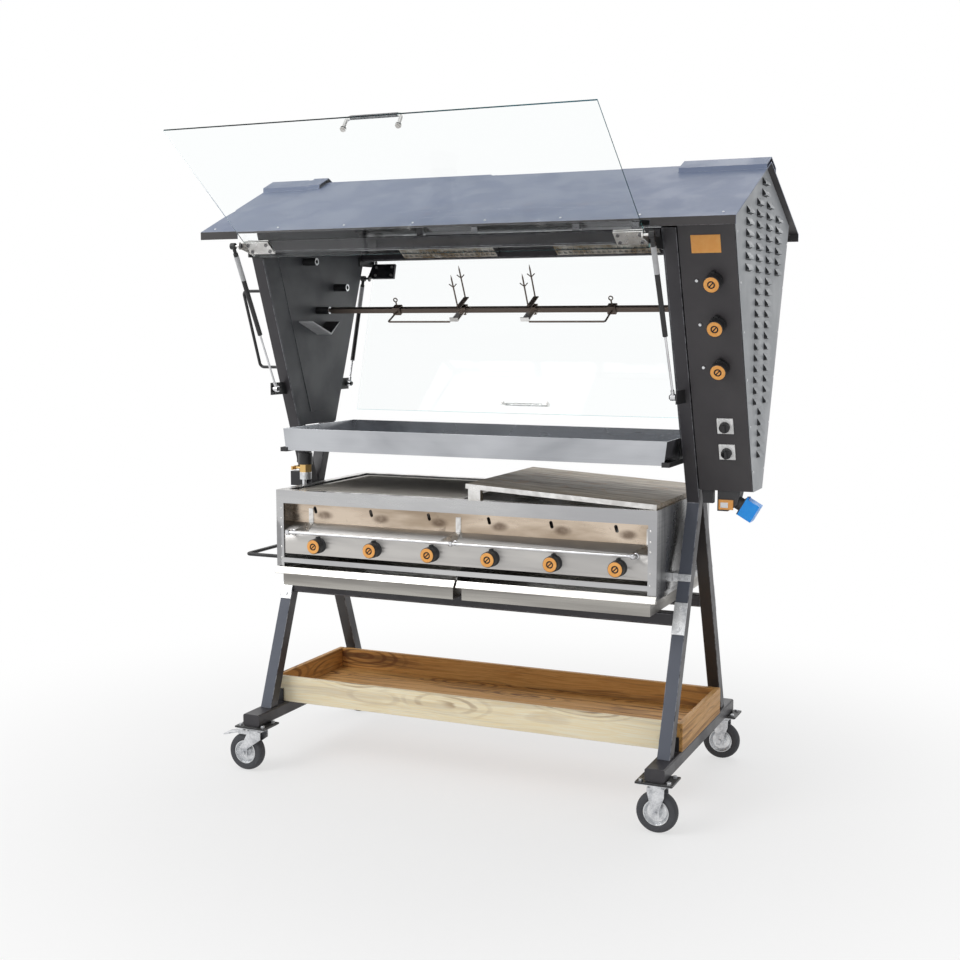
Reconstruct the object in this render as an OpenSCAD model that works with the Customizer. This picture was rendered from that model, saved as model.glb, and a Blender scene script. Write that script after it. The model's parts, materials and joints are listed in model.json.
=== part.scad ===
// Gas grill cart with a hooded rotisserie: two bent leg pairs on a wheeled base carry a six burner
// firebox, a drip tray and a gable hood with two swing-up glass doors held by gas struts.
// Everything is drawn about the middle of the wheelbase, with the floor at zero, X to the right,
// Y to the back and Z up, and is then set over the middle of the whole outline.

/* [Frame] */
// Distance from the middle of the cart to the middle of a leg
leg_x = 684; // [640:1:720]
// Side of the square leg tube
leg = 40; // [34:1:44]
// Lean of the lower legs from upright, in degrees
lower_lean = 21.3; // [19:0.1:23]
// Lean of the upper posts from upright, in degrees
upper_lean = 20.8; // [19:0.1:22]
// Height of the waist where the two legs of a side meet
waist_z = 925; // [905:1:940]
// Height of the top of the posts
post_top = 1735; // [1725:1:1750]
// Width of a base beam
beam_w = 60; // [50:1:70]
// Height of a base beam
beam_h = 40; // [30:1:50]
// Length of a base beam, front to back
beam_len = 828; // [800:1:880]
// Chamfer along the edges of the square tubes
tube_chamfer = 4; // [2:0.5:6]
// Height of the middle of the rails under the firebox
rail_z = 585; // [560:1:590]
// Thickness of the galvanised clamp plates
clamp_t = 4; // [3:0.5:6]
// Height of a galvanised plate on the front of a leg
clamp_h = 98; // [80:1:110]
// Height of the upper leg clamps
saddle_z = 706; // [695:1:715]

/* [Casters] */
// Wheel diameter
wheel_d = 125; // [110:1:130]
// Width of the tyre
tyre_w = 37; // [30:1:40]
// Radial thickness of the rubber tyre
tyre_t = 24; // [18:1:28]
// Height from the floor to the underside of a beam
caster_h = 158; // [154:1:170]
// Distance from the end of a beam to the middle of its caster
caster_inset = 35; // [35:1:60]
// Trail of the swivel casters
caster_trail = 38; // [30:1:44]
// Thickness of the sheet steel forks
fork_t = 3; // [2:0.5:4]
// Diameter of a wheel axle
axle_d = 10; // [8:0.5:12]

/* [Wooden tray] */
// Length of the wooden tray, flush with the beams
wood_len = 1428; // [1400:1:1460]
// Depth of the wooden tray, front to back
wood_depth = 456; // [420:1:470]
// Height of the wooden tray
wood_h = 86; // [70:1:100]
// Thickness of its boards
board_t = 18; // [14:1:22]
// Number of floor boards
floor_boards = 5; // [4:1:6]
// Gap between the floor boards
board_gap = 2; // [1:0.5:4]

/* [Roof] */
// Reach of the roof to the left of the middle
roof_left = 828; // [800:1:860]
// Reach of the roof to the right of the middle
roof_right = 891; // [885:1:930]
// Distance from the ridge to each eave
eave_y = 430; // [422:1:450]
// Height of the top of the eaves
eave_z = 1757; // [1750:1:1775]
// Height of the ridge
ridge_z = 1942; // [1930:1:1960]
// Thickness of the roof sheet
roof_t = 3; // [2:0.5:4]
// Height of the lip folded down at the eaves
lip_h = 24; // [18:1:28]
// Left end of the front lip cut out for the door
lip_gap_left = 690; // [675:1:720]
// Right end of the same cut out
lip_gap_right = 652; // [650:1:680]
// Length of the left ridge cap
cap_left_len = 221; // [150:1:300]
// Length of the right ridge cap
cap_right_len = 264; // [150:1:300]
// Reach of a ridge cap down each slope, measured level
cap_reach = 62; // [40:1:90]
// Gap between a ridge cap and the roof below it
cap_gap = 14; // [8:1:20]

/* [Side housing] */
// Thickness of the sheet panels
panel_t = 3; // [2:0.5:3]
// Lower edge of the inner side panels
side_panel_z = 1128; // [1110:1:1135]
// Height of the raised field on a side panel above its sheet
field_t = 2; // [1:0.5:3]
// Margin of the raised field from the panel edge, measured level
field_margin = 86; // [60:1:110]
// Outer face of the louvred panel, from the middle of the cart
casing_x = 872; // [862:1:882]
// Height of the underside of the housing
casing_z = 968; // [960:1:975]
// Width of a louvre
louvre_w = 100; // [80:1:110]
// Height of a louvre
louvre_h = 20; // [14:1:24]
// How far a louvre stands out
louvre_out = 12; // [8:1:13]
// Spacing of the louvre rows
louvre_pitch = 32.2; // [31:0.1:33]
// Spacing of the louvres along a row
louvre_step = 130; // [120:1:136]
// Height of the highest louvre
louvre_top = 1886; // [1880:1:1890]
// Number of louvre rows
louvre_rows = 26; // [20:1:26]

/* [Glass doors] */
// Distance of a hinge axis from the middle plane
hinge_y = 404; // [400:1:408]
// Height of the hinge axes
hinge_z = 1692; // [1688:1:1696]
// Half the width of a glass pane
glass_half = 645; // [638:1:646]
// Length of a pane from its hinge edge to its free edge
glass_len = 561; // [520:1:570]
// Thickness of the glass
glass_t = 5; // [4:0.5:6]
// Distance of the middle of the glass from the hinge axis
glass_off = 11; // [10:0.5:12]
// Overhang of the glass behind the hinge axis
glass_back = 10; // [8:1:12]
// Rise of the open front door above level, in degrees
door_rise = 36.4; // [35:0.1:38]
// Swing of a door between open and closed, in degrees
door_swing = 141.6; // [140:0.1:143]
// Width of a steel hinge plate on the glass
plate_w = 88; // [70:1:100]
// Length of a hinge plate along the glass
plate_len = 54; // [45:1:60]
// Thickness of the hinge plates
plate_t = 3; // [2:0.5:4]
// Radius from a hinge axis to the pivot of its gas strut
strut_arm = 75; // [70:1:78]
// Angle of that arm past the glass, in degrees
strut_arm_angle = 24.4; // [22:0.1:26]
// Distance between the feet of a door handle
handle_span = 166; // [140:1:190]
// Diameter of the handle bars
handle_d = 11; // [8:1:13]
// How far a door handle stands off the glass
handle_reach = 36; // [30:1:45]

/* [Gas struts] */
// Distance of the lower strut pivots from the middle plane
strut_y = 244; // [240:1:248]
// Height of the lower strut pivots
strut_z = 1256; // [1250:1:1262]
// Distance of the struts from the middle of the cart
strut_x = 673.5; // [673:0.1:674]
// Diameter of a strut cylinder
cylinder_d = 15; // [12:0.5:16]
// Diameter of a strut rod
strut_rod_d = 7; // [5:0.5:8]
// Length of a strut cylinder
cylinder_len = 285; // [270:1:300]
// Diameter of the studs in the strut ends
stud_d = 8; // [6:0.5:9]

/* [Spit] */
// Height of the spit
spit_z = 1515; // [1505:1:1525]
// Side of the square spit bar
spit_side = 16; // [14:1:18]
// Diameter of the round ends of the spit
journal_d = 14; // [10:1:16]
// How far the spit stands turned at rest, in degrees
spit_turn = 28; // [0:1:45]
// Outer diameter of the spit holders
holder_d = 26; // [24:1:30]
// Reach of a spit holder from the side panel
holder_len = 52; // [40:1:60]
// Length of a fork prong
prong_len = 116; // [90:1:130]
// Diameter of a fork prong
prong_d = 5; // [4:0.5:6]
// Distance between the two prongs of a fork
prong_gap = 67; // [50:1:74]
// Place of the left fork along the spit
fork_left_x = -108; // [-160:1:-90]
// Place of the right fork along the spit
fork_right_x = 138; // [110:1:170]
// Place of the left clamp along the spit
clamp_left_x = -348; // [-380:1:-330]
// Place of the right clamp along the spit
clamp_right_x = 404; // [380:1:430]

/* [Drip tray] */
// Half the width of the drip tray
tray_half = 655; // [645:1:658]
// Half the depth of the drip tray
tray_y = 236; // [220:1:245]
// Height of the underside of the drip tray
tray_z = 1054; // [1050:1:1060]
// Height of the tray walls
tray_h = 72; // [60:1:76]
// Thickness of the tray sheet
tray_t = 2; // [1.5:0.1:3]
// Thickness of the tray hooks
hook_t = 4; // [3:0.5:5]

/* [Firebox] */
// Half the width of the firebox
box_half = 647; // [640:1:650]
// Distance from the middle plane to the front of the firebox
box_y = 298; // [290:1:310]
// Height of the top rim of the firebox
box_top = 929; // [920:1:935]
// Height of the underside of the firebox walls
box_z = 677; // [670:1:685]
// Thickness of the firebox sheet
sheet = 3; // [2:0.5:4]
// Width of the flanges at the front corners
flange_w = 27; // [20:1:35]
// Height of the front top rail
top_rail_h = 43; // [36:1:50]
// Depth of the rim along the front and back
rim_d = 28; // [22:1:34]
// Distance from the front face back to the slotted shield
shield_back = 48; // [40:1:60]
// Height of the bottom of the slotted shield
shield_z = 820; // [812:1:830]
// Width of a flame slot
slot_w = 11; // [8:1:14]
// Height of a flame slot
slot_h = 24; // [16:1:28]
// Height of the slot centres
slot_z = 862; // [855:1:866]
// Height of the bend at the top of the upright fascia
fascia_top = 795; // [790:1:805]
// Height of the bottom of the fascia
fascia_z = 720; // [716:1:724]
// Distance of the fascia behind the front of the flanges
fascia_back = 4; // [3:1:8]
// Number of burners and burner knobs
burners = 6; // [6:1:6]
// Distance of the left burner from the left end of the firebox
burner_left_in = 159; // [150:1:170]
// Distance of the right burner from the right end of the firebox
burner_right_in = 115; // [105:1:125]
// Height of the burner knobs
knob_z = 754; // [750:1:760]
// Diameter of a burner tube
burner_d = 50; // [40:1:56]
// Height of the burner tubes
burner_z = 800; // [795:1:810]
// Distance of the front bar ahead of the fascia
bar_reach = 36; // [30:1:45]
// Height of the front bar
bar_z = 796; // [790:1:805]
// Diameter of the front bar
bar_d = 9; // [7:1:12]

/* [Knobs and switches] */
// Diameter of a control knob
knob_d = 48; // [40:1:52]
// Height of a control knob
knob_h = 26; // [20:1:30]
// Diameter of the bezel behind a knob
bezel_d = 50; // [44:1:54]
// Height of that bezel
bezel_h = 16; // [10:1:18]
// Diameter of a knob spindle
spindle_d = 8; // [6:1:10]
// Place of the hood knobs across the control panel
hood_knob_x = 802; // [790:1:812]
// Height of the lowest hood knob
hood_knob_z = 1343; // [1330:1:1350]
// Spacing in height of the hood knobs
hood_knob_pitch = 123; // [110:1:125]
// Height of the lower cam switch
switch_z = 1091; // [1085:1:1100]
// Spacing in height of the cam switches
switch_pitch = 79; // [70:1:85]
// Side of a switch plate
switch_plate = 48; // [40:1:52]
// Diameter of a switch knob
switch_d = 31; // [24:1:36]
// Height of a switch knob
switch_h = 18; // [12:1:22]

/* [Grates] */
// Length of the mesh grate
mesh_len = 600; // [560:1:610]
// Depth of the mesh grate
mesh_depth = 470; // [440:1:500]
// Width of the flat bar around the mesh grate
mesh_frame = 14; // [10:1:18]
// Thickness of the mesh grate
mesh_t = 4; // [3:0.5:6]
// Columns of openings in the mesh
mesh_columns = 16; // [12:1:24]
// Rows of openings in the mesh
mesh_rows = 9; // [8:1:14]
// Length of the griddle plate
griddle_len = 612; // [590:1:620]
// Depth of the griddle plate
griddle_depth = 560; // [545:1:575]
// Height of the griddle's folded edge
griddle_h = 15; // [12:1:20]
// Thickness of the griddle sheet
griddle_t = 6; // [4:1:8]
// Tilt of the griddle, in degrees
griddle_tilt = 3.2; // [2.5:0.1:3.5]

/* [Drawers] */
// Height of a drip drawer
drawer_h = 52; // [44:1:56]
// Sheet of the drawers
drawer_t = 2; // [1.5:0.1:3]
// Length of a drawer from its face to its back
drawer_len = 560; // [500:1:580]
// Gap between the two drawer lips
drawer_split = 8; // [6:1:14]
// Place of the split between the drawers
drawer_mid = 4; // [0:1:10]
// How far a drawer lip leans out
lip_out = 15; // [10:1:20]

/* [Hidden] */
$fn = 40;

// Cuts run past the faces they open by this much
overrun = 1;
// Gap kept between parts that move past each other
gap = 0.4;
// Radial play of a pin in its bore
pin_play = 0.08;

// Heights and faces that follow from the frame
beam_z = caster_h;
beam_top = beam_z + beam_h;
leg_in = leg_x - leg / 2;
leg_out = leg_x + leg / 2;
leg_dy = leg / cos(lower_lean);
panel_x = leg_in - panel_t;

// Distance of the outer face of the legs from the middle plane at height z
function face_y(z) = leg_dy + (z < waist_z ? (waist_z - z) * tan(lower_lean)
                                           : (z - waist_z) * tan(upper_lean));
// Height of the underside of the roof sheet at distance y from the ridge
roof_slope = (ridge_z - eave_z) / eave_y;
function roof_under(y) = ridge_z - y * roof_slope - roof_t / cos(atan(roof_slope));

// Middle of the whole outline, over which the model is set
door_tip = hinge_y + (glass_len - glass_back) * cos(door_rise) + (glass_off + glass_t / 2) * sin(door_rise);
origin_x = (roof_right - roof_left) / 2;
origin_y = (eave_y - door_tip) / 2;

// Frame shapes
module block(low, high) translate(low) cube(high - low);
module two_x() { children(); mirror([1, 0, 0]) children(); }
module two_y() { children(); mirror([0, 1, 0]) children(); }
module along_x(x0, x1) translate([x0, 0, 0]) rotate([90, 0, 90]) linear_extrude(x1 - x0) children();
module along_y(y0, y1) translate([0, y1, 0]) rotate([90, 0, 0]) linear_extrude(y1 - y0) children();
module chamfered(w, h, c)
  polygon([[c - w / 2, 0], [w / 2 - c, 0], [w / 2, c], [w / 2, h - c], [w / 2 - c, h],
           [c - w / 2, h], [-w / 2, h - c], [-w / 2, c]]);
module rod(a, b, d) {
  v = b - a;
  translate(a) rotate([0, acos(v.z / norm(v)), atan2(v.y, v.x)]) cylinder(d = d, h = norm(v));
}
// A quarter bend of a round bar: it leaves the origin along X and turns up to Z
module bend(r, d)
  translate([0, 0, r]) rotate([90, 90, 0]) rotate_extrude(angle = 90) translate([r, 0]) circle(d = d);
// A bar bent into a handle: the grip lies along X at height zero and its two legs rise
module grip(span, rise, r, d) {
  pin_x(r - span / 2, span / 2 - r, 0, 0, d);
  two_x() translate([span / 2 - r, 0, 0]) {
    bend(r, d);
    translate([r, 0, r]) cylinder(d = d, h = rise - r);
  }
}
module pin_x(x0, x1, y, z, d) translate([x0, y, z]) rotate([0, 90, 0]) cylinder(d = d, h = x1 - x0);
module pin_y(x, y0, y1, z, d) translate([x, y1, z]) rotate([90, 0, 0]) cylinder(d = d, h = y1 - y0);
// A rectangle with columns and rows of rectangular openings, as one outline with holes
module perforated(size, margin, columns, rows, bar) {
  cell = [(size.x - 2 * margin.x - (columns - 1) * bar) / columns,
          (size.y - 2 * margin.y - (rows - 1) * bar) / rows];
  corners = [[0, 0], [size.x, 0], size, [0, size.y]];
  cells = [for (i = [0 : columns - 1], k = [0 : rows - 1])
    let(x = margin.x + i * (cell.x + bar), y = margin.y + k * (cell.y + bar))
    each [[x, y], [x, y + cell.y], [x + cell.x, y + cell.y], [x + cell.x, y]]];
  polygon(concat(corners, cells),
          [for (n = [0 : columns * rows]) [for (c = [0 : 3]) 4 * n + c]]);
}
module hex_head(d, h) cylinder(d = d, h = h, $fn = 6);
module seat() translate([-origin_x, -origin_y, 0]) children();

// Frame
stop_w = 30;
stop_h = 44;
stop_t = 5;
module base_beams() {
  color("dimgray") two_x() translate([leg_x, 0, beam_z])
    along_y(-beam_len / 2, beam_len / 2) chamfered(beam_w, beam_h, tube_chamfer);
  color("black") two_x() two_y()
    block([leg_out - stop_w, wood_depth / 2, beam_top], [leg_out, wood_depth / 2 + stop_t, beam_top + stop_h]);
}
module leg_outline()
  polygon([[-face_y(beam_top), beam_top], [leg_dy - face_y(beam_top), beam_top], [0, waist_z],
           [leg_dy - face_y(post_top), post_top], [-face_y(post_top), post_top], [-leg_dy, waist_z]]);
module front_legs() color("slategray") two_x() along_x(leg_in, leg_out) leg_outline();
module rear_legs() color("slategray") mirror([0, 1, 0]) two_x() along_x(leg_in, leg_out) leg_outline();

rail_y = face_y(rail_z) - leg_dy / 2;
top_rail_y = face_y(post_top) - leg_dy / 2;
module cross_rails() color("dimgray") two_y() {
  translate([0, -rail_y, rail_z - leg / 2]) rotate([0, 0, 90])
    along_y(-leg_in, leg_in) chamfered(leg, leg, tube_chamfer);
  translate([0, -top_rail_y, post_top - leg]) rotate([0, 0, 90])
    along_y(hinge_plate_t - panel_x, panel_x - hinge_plate_t) chamfered(leg, leg, tube_chamfer);
}

clamp_z0 = rail_z - leg / 2 - clamp_h / 4;
nut_d = 14;
nut_h = 6;
saddle_h = 22;
// A place on the outer face of a front leg at height z, with local Z pointing out of the face
module on_leg(x, z) translate([x, -face_y(z), z]) rotate([90 - lower_lean, 0, 0]) children();
bracket_w = 46;
bracket_h = 26;
module frame_clamps() color("silver") two_x() two_y() {
  on_leg(leg_x, clamp_z0 + clamp_h / 2) {
    block([-leg / 2, -clamp_h / 2, 0], [leg / 2, clamp_h / 2, clamp_t]);
    for (s = [-1, 1]) translate([0, s * clamp_h / 3, clamp_t]) hex_head(nut_d, nut_h);
  }
  on_leg(leg_x, saddle_z) {
    block([-leg / 2, -saddle_h / 2, 0], [leg / 2, saddle_h / 2, clamp_t]);
    for (s = [-1, 1]) translate([s * leg / 4, 0, clamp_t]) hex_head(nut_d, nut_h);
  }
  // Spacer bracket that bolts the firebox wall to the leg
  translate([0, leg_dy / 2 - face_y(saddle_z), saddle_z]) {
    block([box_half, -bracket_w / 2, -bracket_h / 2], [leg_in, bracket_w / 2, bracket_h / 2]);
  }
}

// Wooden tray
wood_y = wood_depth / 2;
floor_w = (wood_depth - 2 * board_t - (floor_boards + 1) * board_gap) / floor_boards;
module wood_tray() color("burlywood") {
  for (i = [0 : floor_boards - 1])
    translate([0, board_t + board_gap - wood_y + i * (floor_w + board_gap), 0])
      block([board_t - wood_len / 2, 0, beam_top], [wood_len / 2 - board_t, floor_w, beam_top + board_t]);
  two_y() block([board_t - wood_len / 2, -wood_y, beam_top],
                [wood_len / 2 - board_t, board_t - wood_y, beam_top + wood_h]);
  two_x() block([wood_len / 2 - board_t, -wood_y, beam_top], [wood_len / 2, wood_y, beam_top + wood_h]);
}

// Casters
caster_y = beam_len / 2 - caster_inset;
pad_w = 112;
pad_d = 92;
pad_t = 6;
plate_x = 104;
plate_y = 84;
top_plate_t = 3;
bolt_x = 42;
bolt_y = 31;
kingpin_d = 12;
crown_h = 11;
crown_d = 58;
crown_z = beam_z - pad_t - top_plate_t - crown_h;
fork_half = 25;
fork_w = 52;
fork_foot = 26;
hub_half = 19.5;
hub_d = 26;
rim_t = 3;
wheel_r = wheel_d / 2;
swivel_gap = 1;
// Two cheeks under a crown plate, with the axle through them and the wheel centre at x0
module fork(x0) {
  top = crown_z - wheel_r;
  for (s = [-1, 1]) translate([0, s * (fork_half - fork_t / 2), wheel_r])
    along_y(-fork_t / 2, fork_t / 2)
      polygon([[x0 - fork_foot / 2, -fork_foot / 2], [x0 + fork_foot / 2, -fork_foot / 2],
               [x0 + fork_foot / 2, fork_foot / 2], [fork_w / 2, top - fork_foot], [fork_w / 2, top],
               [-fork_w / 2, top], [-fork_w / 2, top - fork_foot / 2], [x0 - fork_foot / 2, fork_foot / 2]]);
  block([-fork_w / 2, -fork_half, crown_z - fork_t], [fork_w / 2, fork_half, crown_z]);
  pin_y(x0, -fork_half, fork_half, wheel_r, axle_d);
  for (s = [-1, 1]) translate([x0, s * fork_half, wheel_r]) rotate([-90 * s, 0, 0]) hex_head(nut_d, nut_h);
}
race_z = crown_z + crown_h / 2;
module caster_plates() {
  for (sx = [-1, 1], sy = [-1, 1]) translate([sx * leg_x, sy * caster_y, 0]) {
    color("dimgray") block([-pad_w / 2, -pad_d / 2, beam_z - pad_t], [pad_w / 2, pad_d / 2, beam_z]);
    color("silver") {
      for (bx = [-1, 1], by = [-1, 1]) translate([bx * bolt_x, by * bolt_y, beam_z]) hex_head(nut_d, nut_h);
      if (sx > 0) {
        block([-plate_x / 2, -plate_y / 2, beam_z - pad_t - top_plate_t],
              [plate_x / 2, plate_y / 2, beam_z - pad_t]);
        translate([0, 0, crown_z]) cylinder(d = crown_d, h = crown_h);
        fork(0);
      }
      else difference() {
        union() {
          block([-plate_x / 2, -plate_y / 2, beam_z - pad_t - top_plate_t],
                [plate_x / 2, plate_y / 2, beam_z - pad_t]);
          translate([0, 0, race_z]) cylinder(d = crown_d, h = crown_h / 2);
        }
        translate([0, 0, race_z - overrun])
          cylinder(d = kingpin_d + 2 * pin_play, h = crown_h / 2 + top_plate_t / 2 + overrun);
      }
    }
  }
}
// Swivel fork of a left caster, with ears at its front for the brake pedal
pedal_axle_d = 6;
pedal_x = 52;
pedal_rise = 7;
ear_r = 6;
module swivel_fork() color("silver") {
  translate([0, 0, crown_z]) {
    cylinder(d = crown_d, h = crown_h / 2 - swivel_gap);
    cylinder(d = kingpin_d, h = crown_h / 2 + top_plate_t / 2 - gap);
  }
  fork(-caster_trail);
  difference() {
    for (s = [-1, 1]) translate([0, s * (fork_half - fork_t / 2), crown_z])
      along_y(-fork_t / 2, fork_t / 2) {
        translate([-pedal_x - ear_r, -pedal_rise - ear_r]) square([pedal_x + ear_r, ear_r + pedal_rise]);
      }
    pin_y(-pedal_x, -fork_half - overrun, fork_half + overrun, crown_z - pedal_rise,
          pedal_axle_d + 2 * pin_play);
  }
}
module wheel() {
  tyre_in = wheel_r - tyre_t;
  shoulder = tyre_w / 2 - tyre_t / 3;
  color("dimgray") rotate([90, 0, 0]) rotate_extrude()
    polygon([[tyre_in, -tyre_w / 2], [wheel_r - tyre_t / 3, -tyre_w / 2], [wheel_r, -shoulder],
             [wheel_r, shoulder], [wheel_r - tyre_t / 3, tyre_w / 2], [tyre_in, tyre_w / 2]]);
  color("silver") rotate([90, 0, 0]) rotate_extrude()
    polygon([[axle_d / 2 + pin_play, -hub_half], [hub_d / 2, -hub_half], [hub_d / 2, -rim_t],
             [tyre_in - rim_t, -rim_t], [tyre_in - rim_t, -tyre_w / 2], [tyre_in, -tyre_w / 2],
             [tyre_in, tyre_w / 2], [tyre_in - rim_t, tyre_w / 2], [tyre_in - rim_t, rim_t],
             [hub_d / 2, rim_t], [hub_d / 2, hub_half], [axle_d / 2 + pin_play, hub_half]]);
}
// Foot pedal that locks a left caster
pedal_len = 66;
pedal_w = 40;
pedal_toe = 24;
pedal_t = 4;
pedal_slope = 13;
module brake() color("gray") translate([-pedal_x, 0, crown_z - pedal_rise]) {
  pin_y(0, -fork_half, fork_half, 0, pedal_axle_d);
  rotate([0, -pedal_slope, 0]) {
    block([-pedal_len, -pedal_w / 2, -pedal_t / 2], [0, pedal_w / 2, pedal_t / 2]);
    block([-pedal_len, -fork_half, -pedal_t / 2], [pedal_toe - pedal_len, fork_half, pedal_t / 2]);
  }
}

// Roof
function roof_section(reach, drop, lift) =
  [[-reach, eave_level(reach) + lift - drop], [-reach, eave_level(reach) + lift], [0, ridge_z + lift],
   [reach, eave_level(reach) + lift], [reach, eave_level(reach) + lift - drop],
   [reach - roof_t, eave_level(reach) + lift - drop],
   [reach - roof_t, roof_under(reach - roof_t) + lift], [0, roof_under(0) + lift],
   [roof_t - reach, roof_under(reach - roof_t) + lift], [roof_t - reach, eave_level(reach) + lift - drop]];
function eave_level(reach) = ridge_z - reach * roof_slope;
module ridge_cap(x0, x1) {
  along_x(x0, x1) polygon(roof_section(cap_reach, cap_gap + roof_t / 2, cap_gap));
}
module roof() color("slategray") {
  difference() {
    along_x(-roof_left, roof_right) polygon(roof_section(eave_y, lip_h, 0));
    block([-lip_gap_left, -eave_y - overrun, eave_z - lip_h - overrun],
          [lip_gap_right, roof_t * 2 - eave_y, eave_z - roof_t * 2]);
  }
  ridge_cap(-roof_left, cap_left_len - roof_left);
  ridge_cap(roof_right - cap_right_len, roof_right);
}

// Side panels and the housing on the right
// Play between the roof and what stands under it
seat_play = 0.05;
// Where the line of the posts, set in by some margin, meets the roof, lowered by the same margin
function roof_seat() = roof_under(0) - seat_play;
function meet_y(inset) = (leg_dy - inset + (roof_seat() - inset - waist_z) * tan(upper_lean))
                         / (1 + roof_slope * tan(upper_lean));
function meet_z(inset) = roof_seat() - meet_y(inset) * roof_slope - inset;
function gable(z0, inset) =
  [[inset - face_y(z0), z0], [-meet_y(inset), meet_z(inset)], [0, roof_seat() - inset],
   [meet_y(inset), meet_z(inset)], [face_y(z0) - inset, z0]];
// The three places for a spit, as Y and Z
spit_front = 82;
spit_front_rise = 161;
spit_rear = 124;
spit_rear_rise = 80;
spit_places = [[0, spit_z], [-spit_front, spit_z + spit_front_rise], [spit_rear, spit_z + spit_rear_rise]];
module side_panels() color("dimgray") {
  mirror([1, 0, 0]) side_panel();
  difference() {
    side_panel();
    for (p = spit_places) pin_x(panel_x - field_t - overrun, leg_in + overrun, p.x, p.y, journal_d + 2 * gap);
  }
}
module side_panel() {
  along_x(panel_x, leg_in) polygon(gable(side_panel_z, 0));
  along_x(panel_x - field_t, panel_x) polygon(gable(side_panel_z + field_margin / 2, field_margin));
}
// Louvres in row i, from the ridge down: two single ones, a pair, six rows of four, then pairs
row_counts = [1, 1, 2, 4, 4, 4, 4, 4, 4, 2, 2, 2, 2, 2, 2, 2, 2, 2, 2, 2, 2, 1, 1, 1, 1, 1];
louvre_at = [for (i = [0 : louvre_rows - 1], k = [0 : row_counts[i] - 1])
             [(k - (row_counts[i] - 1) / 2) * louvre_step, louvre_top - i * louvre_pitch]];
louvre_skin = 1.5;
// The louvred sheet with a slot behind every louvre, as one outline with holes
module slotted_gable() {
  edge = gable(casing_z, 0);
  w = louvre_w / 2 - louvre_skin;
  h = louvre_h / 2 - louvre_skin;
  slots = [for (p = louvre_at) each [p + [-w, -h], p + [-w, h], p + [w, h], p + [w, -h]]];
  polygon(concat(edge, slots),
          concat([[for (c = [0 : len(edge) - 1]) c]],
                 [for (n = [0 : len(louvre_at) - 1]) [for (c = [0 : 3]) len(edge) + 4 * n + c]]));
}
// A pressed louvre: a sloping blade closed by a cheek at each end, open at its lower edge
module louvre() {
  top = louvre_h / 2;
  along_y(-louvre_w / 2, louvre_w / 2)
    polygon([[0, top], [louvre_out, -top / 2], [louvre_out, -top], [louvre_out - louvre_skin, -top],
             [louvre_out - louvre_skin, -top / 2], [0, top - 2 * louvre_skin]]);
  for (y = [-louvre_w / 2, louvre_w / 2 - louvre_skin]) along_y(y, y + louvre_skin)
    polygon([[0, top - 2 * louvre_skin], [louvre_out - louvre_skin, -top / 2],
             [louvre_out - louvre_skin, -top], [0, -top]]);
}
module louvre_panel() color("lightgray") {
  along_x(casing_x - panel_t, casing_x) slotted_gable();
  for (p = louvre_at) translate([casing_x, p.x, p.y]) louvre();
  // Rear sheet, floor and the inner sheet between the posts
  along_x(leg_out, casing_x - panel_t) mirror([1, 0]) panel_outline();
  block([leg_out, panel_t - face_y(casing_z), casing_z],
        [casing_x - panel_t, face_y(casing_z) - panel_t, casing_z + panel_t]);
  along_x(leg_out, leg_out + panel_t)
    polygon([[panel_t - face_y(casing_z), casing_z + panel_t], [panel_t - face_y(side_panel_z), side_panel_z],
             [face_y(side_panel_z) - panel_t, side_panel_z], [face_y(casing_z) - panel_t, casing_z + panel_t]]);
}
module panel_outline()
  polygon([[-face_y(casing_z), casing_z], [panel_t - face_y(casing_z), casing_z],
           [panel_t - meet_y(0), meet_z(0)], [-meet_y(0), meet_z(0)]]);
// A place on the sloping control panel at height z, with local Z pointing out of the panel
module on_panel(x, z) translate([x, -face_y(z), z]) rotate([90 + upper_lean, 0, 0]) children();
spindle_hole = spindle_d + 2 * gap;
module control_panel() color("black") difference() {
  along_x(leg_out, casing_x - panel_t) panel_outline();
  for (i = [0 : 2]) on_panel(hood_knob_x, hood_knob_z + i * hood_knob_pitch)
    translate([0, 0, -bezel_h]) cylinder(d = spindle_hole, h = 2 * bezel_h);
  for (i = [0 : 1]) on_panel(hood_knob_x, switch_z + i * switch_pitch)
    translate([0, 0, -bezel_h]) cylinder(d = spindle_hole, h = 2 * bezel_h);
}

// Knobs. A knob turns on a spindle that comes out of a fixed bezel.
lug = 9;
knob_edge = 3;
face_t = 2;
face_in = 10;
pointer_w = 4;
spindle_top = knob_h / 2;
module bezel() {
  difference() {
    union() {
      cylinder(d = bezel_d, h = bezel_h);
      translate([0, bezel_d / 2, 0]) block([-lug / 2, -lug, 0], [lug / 2, lug / 2, bezel_h]);
    }
    translate([0, 0, -overrun]) cylinder(d = spindle_hole, h = bezel_h + 2 * overrun);
  }
}
module spindle(base, top) translate([0, 0, -base]) cylinder(d = spindle_d, h = base + top);
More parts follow.
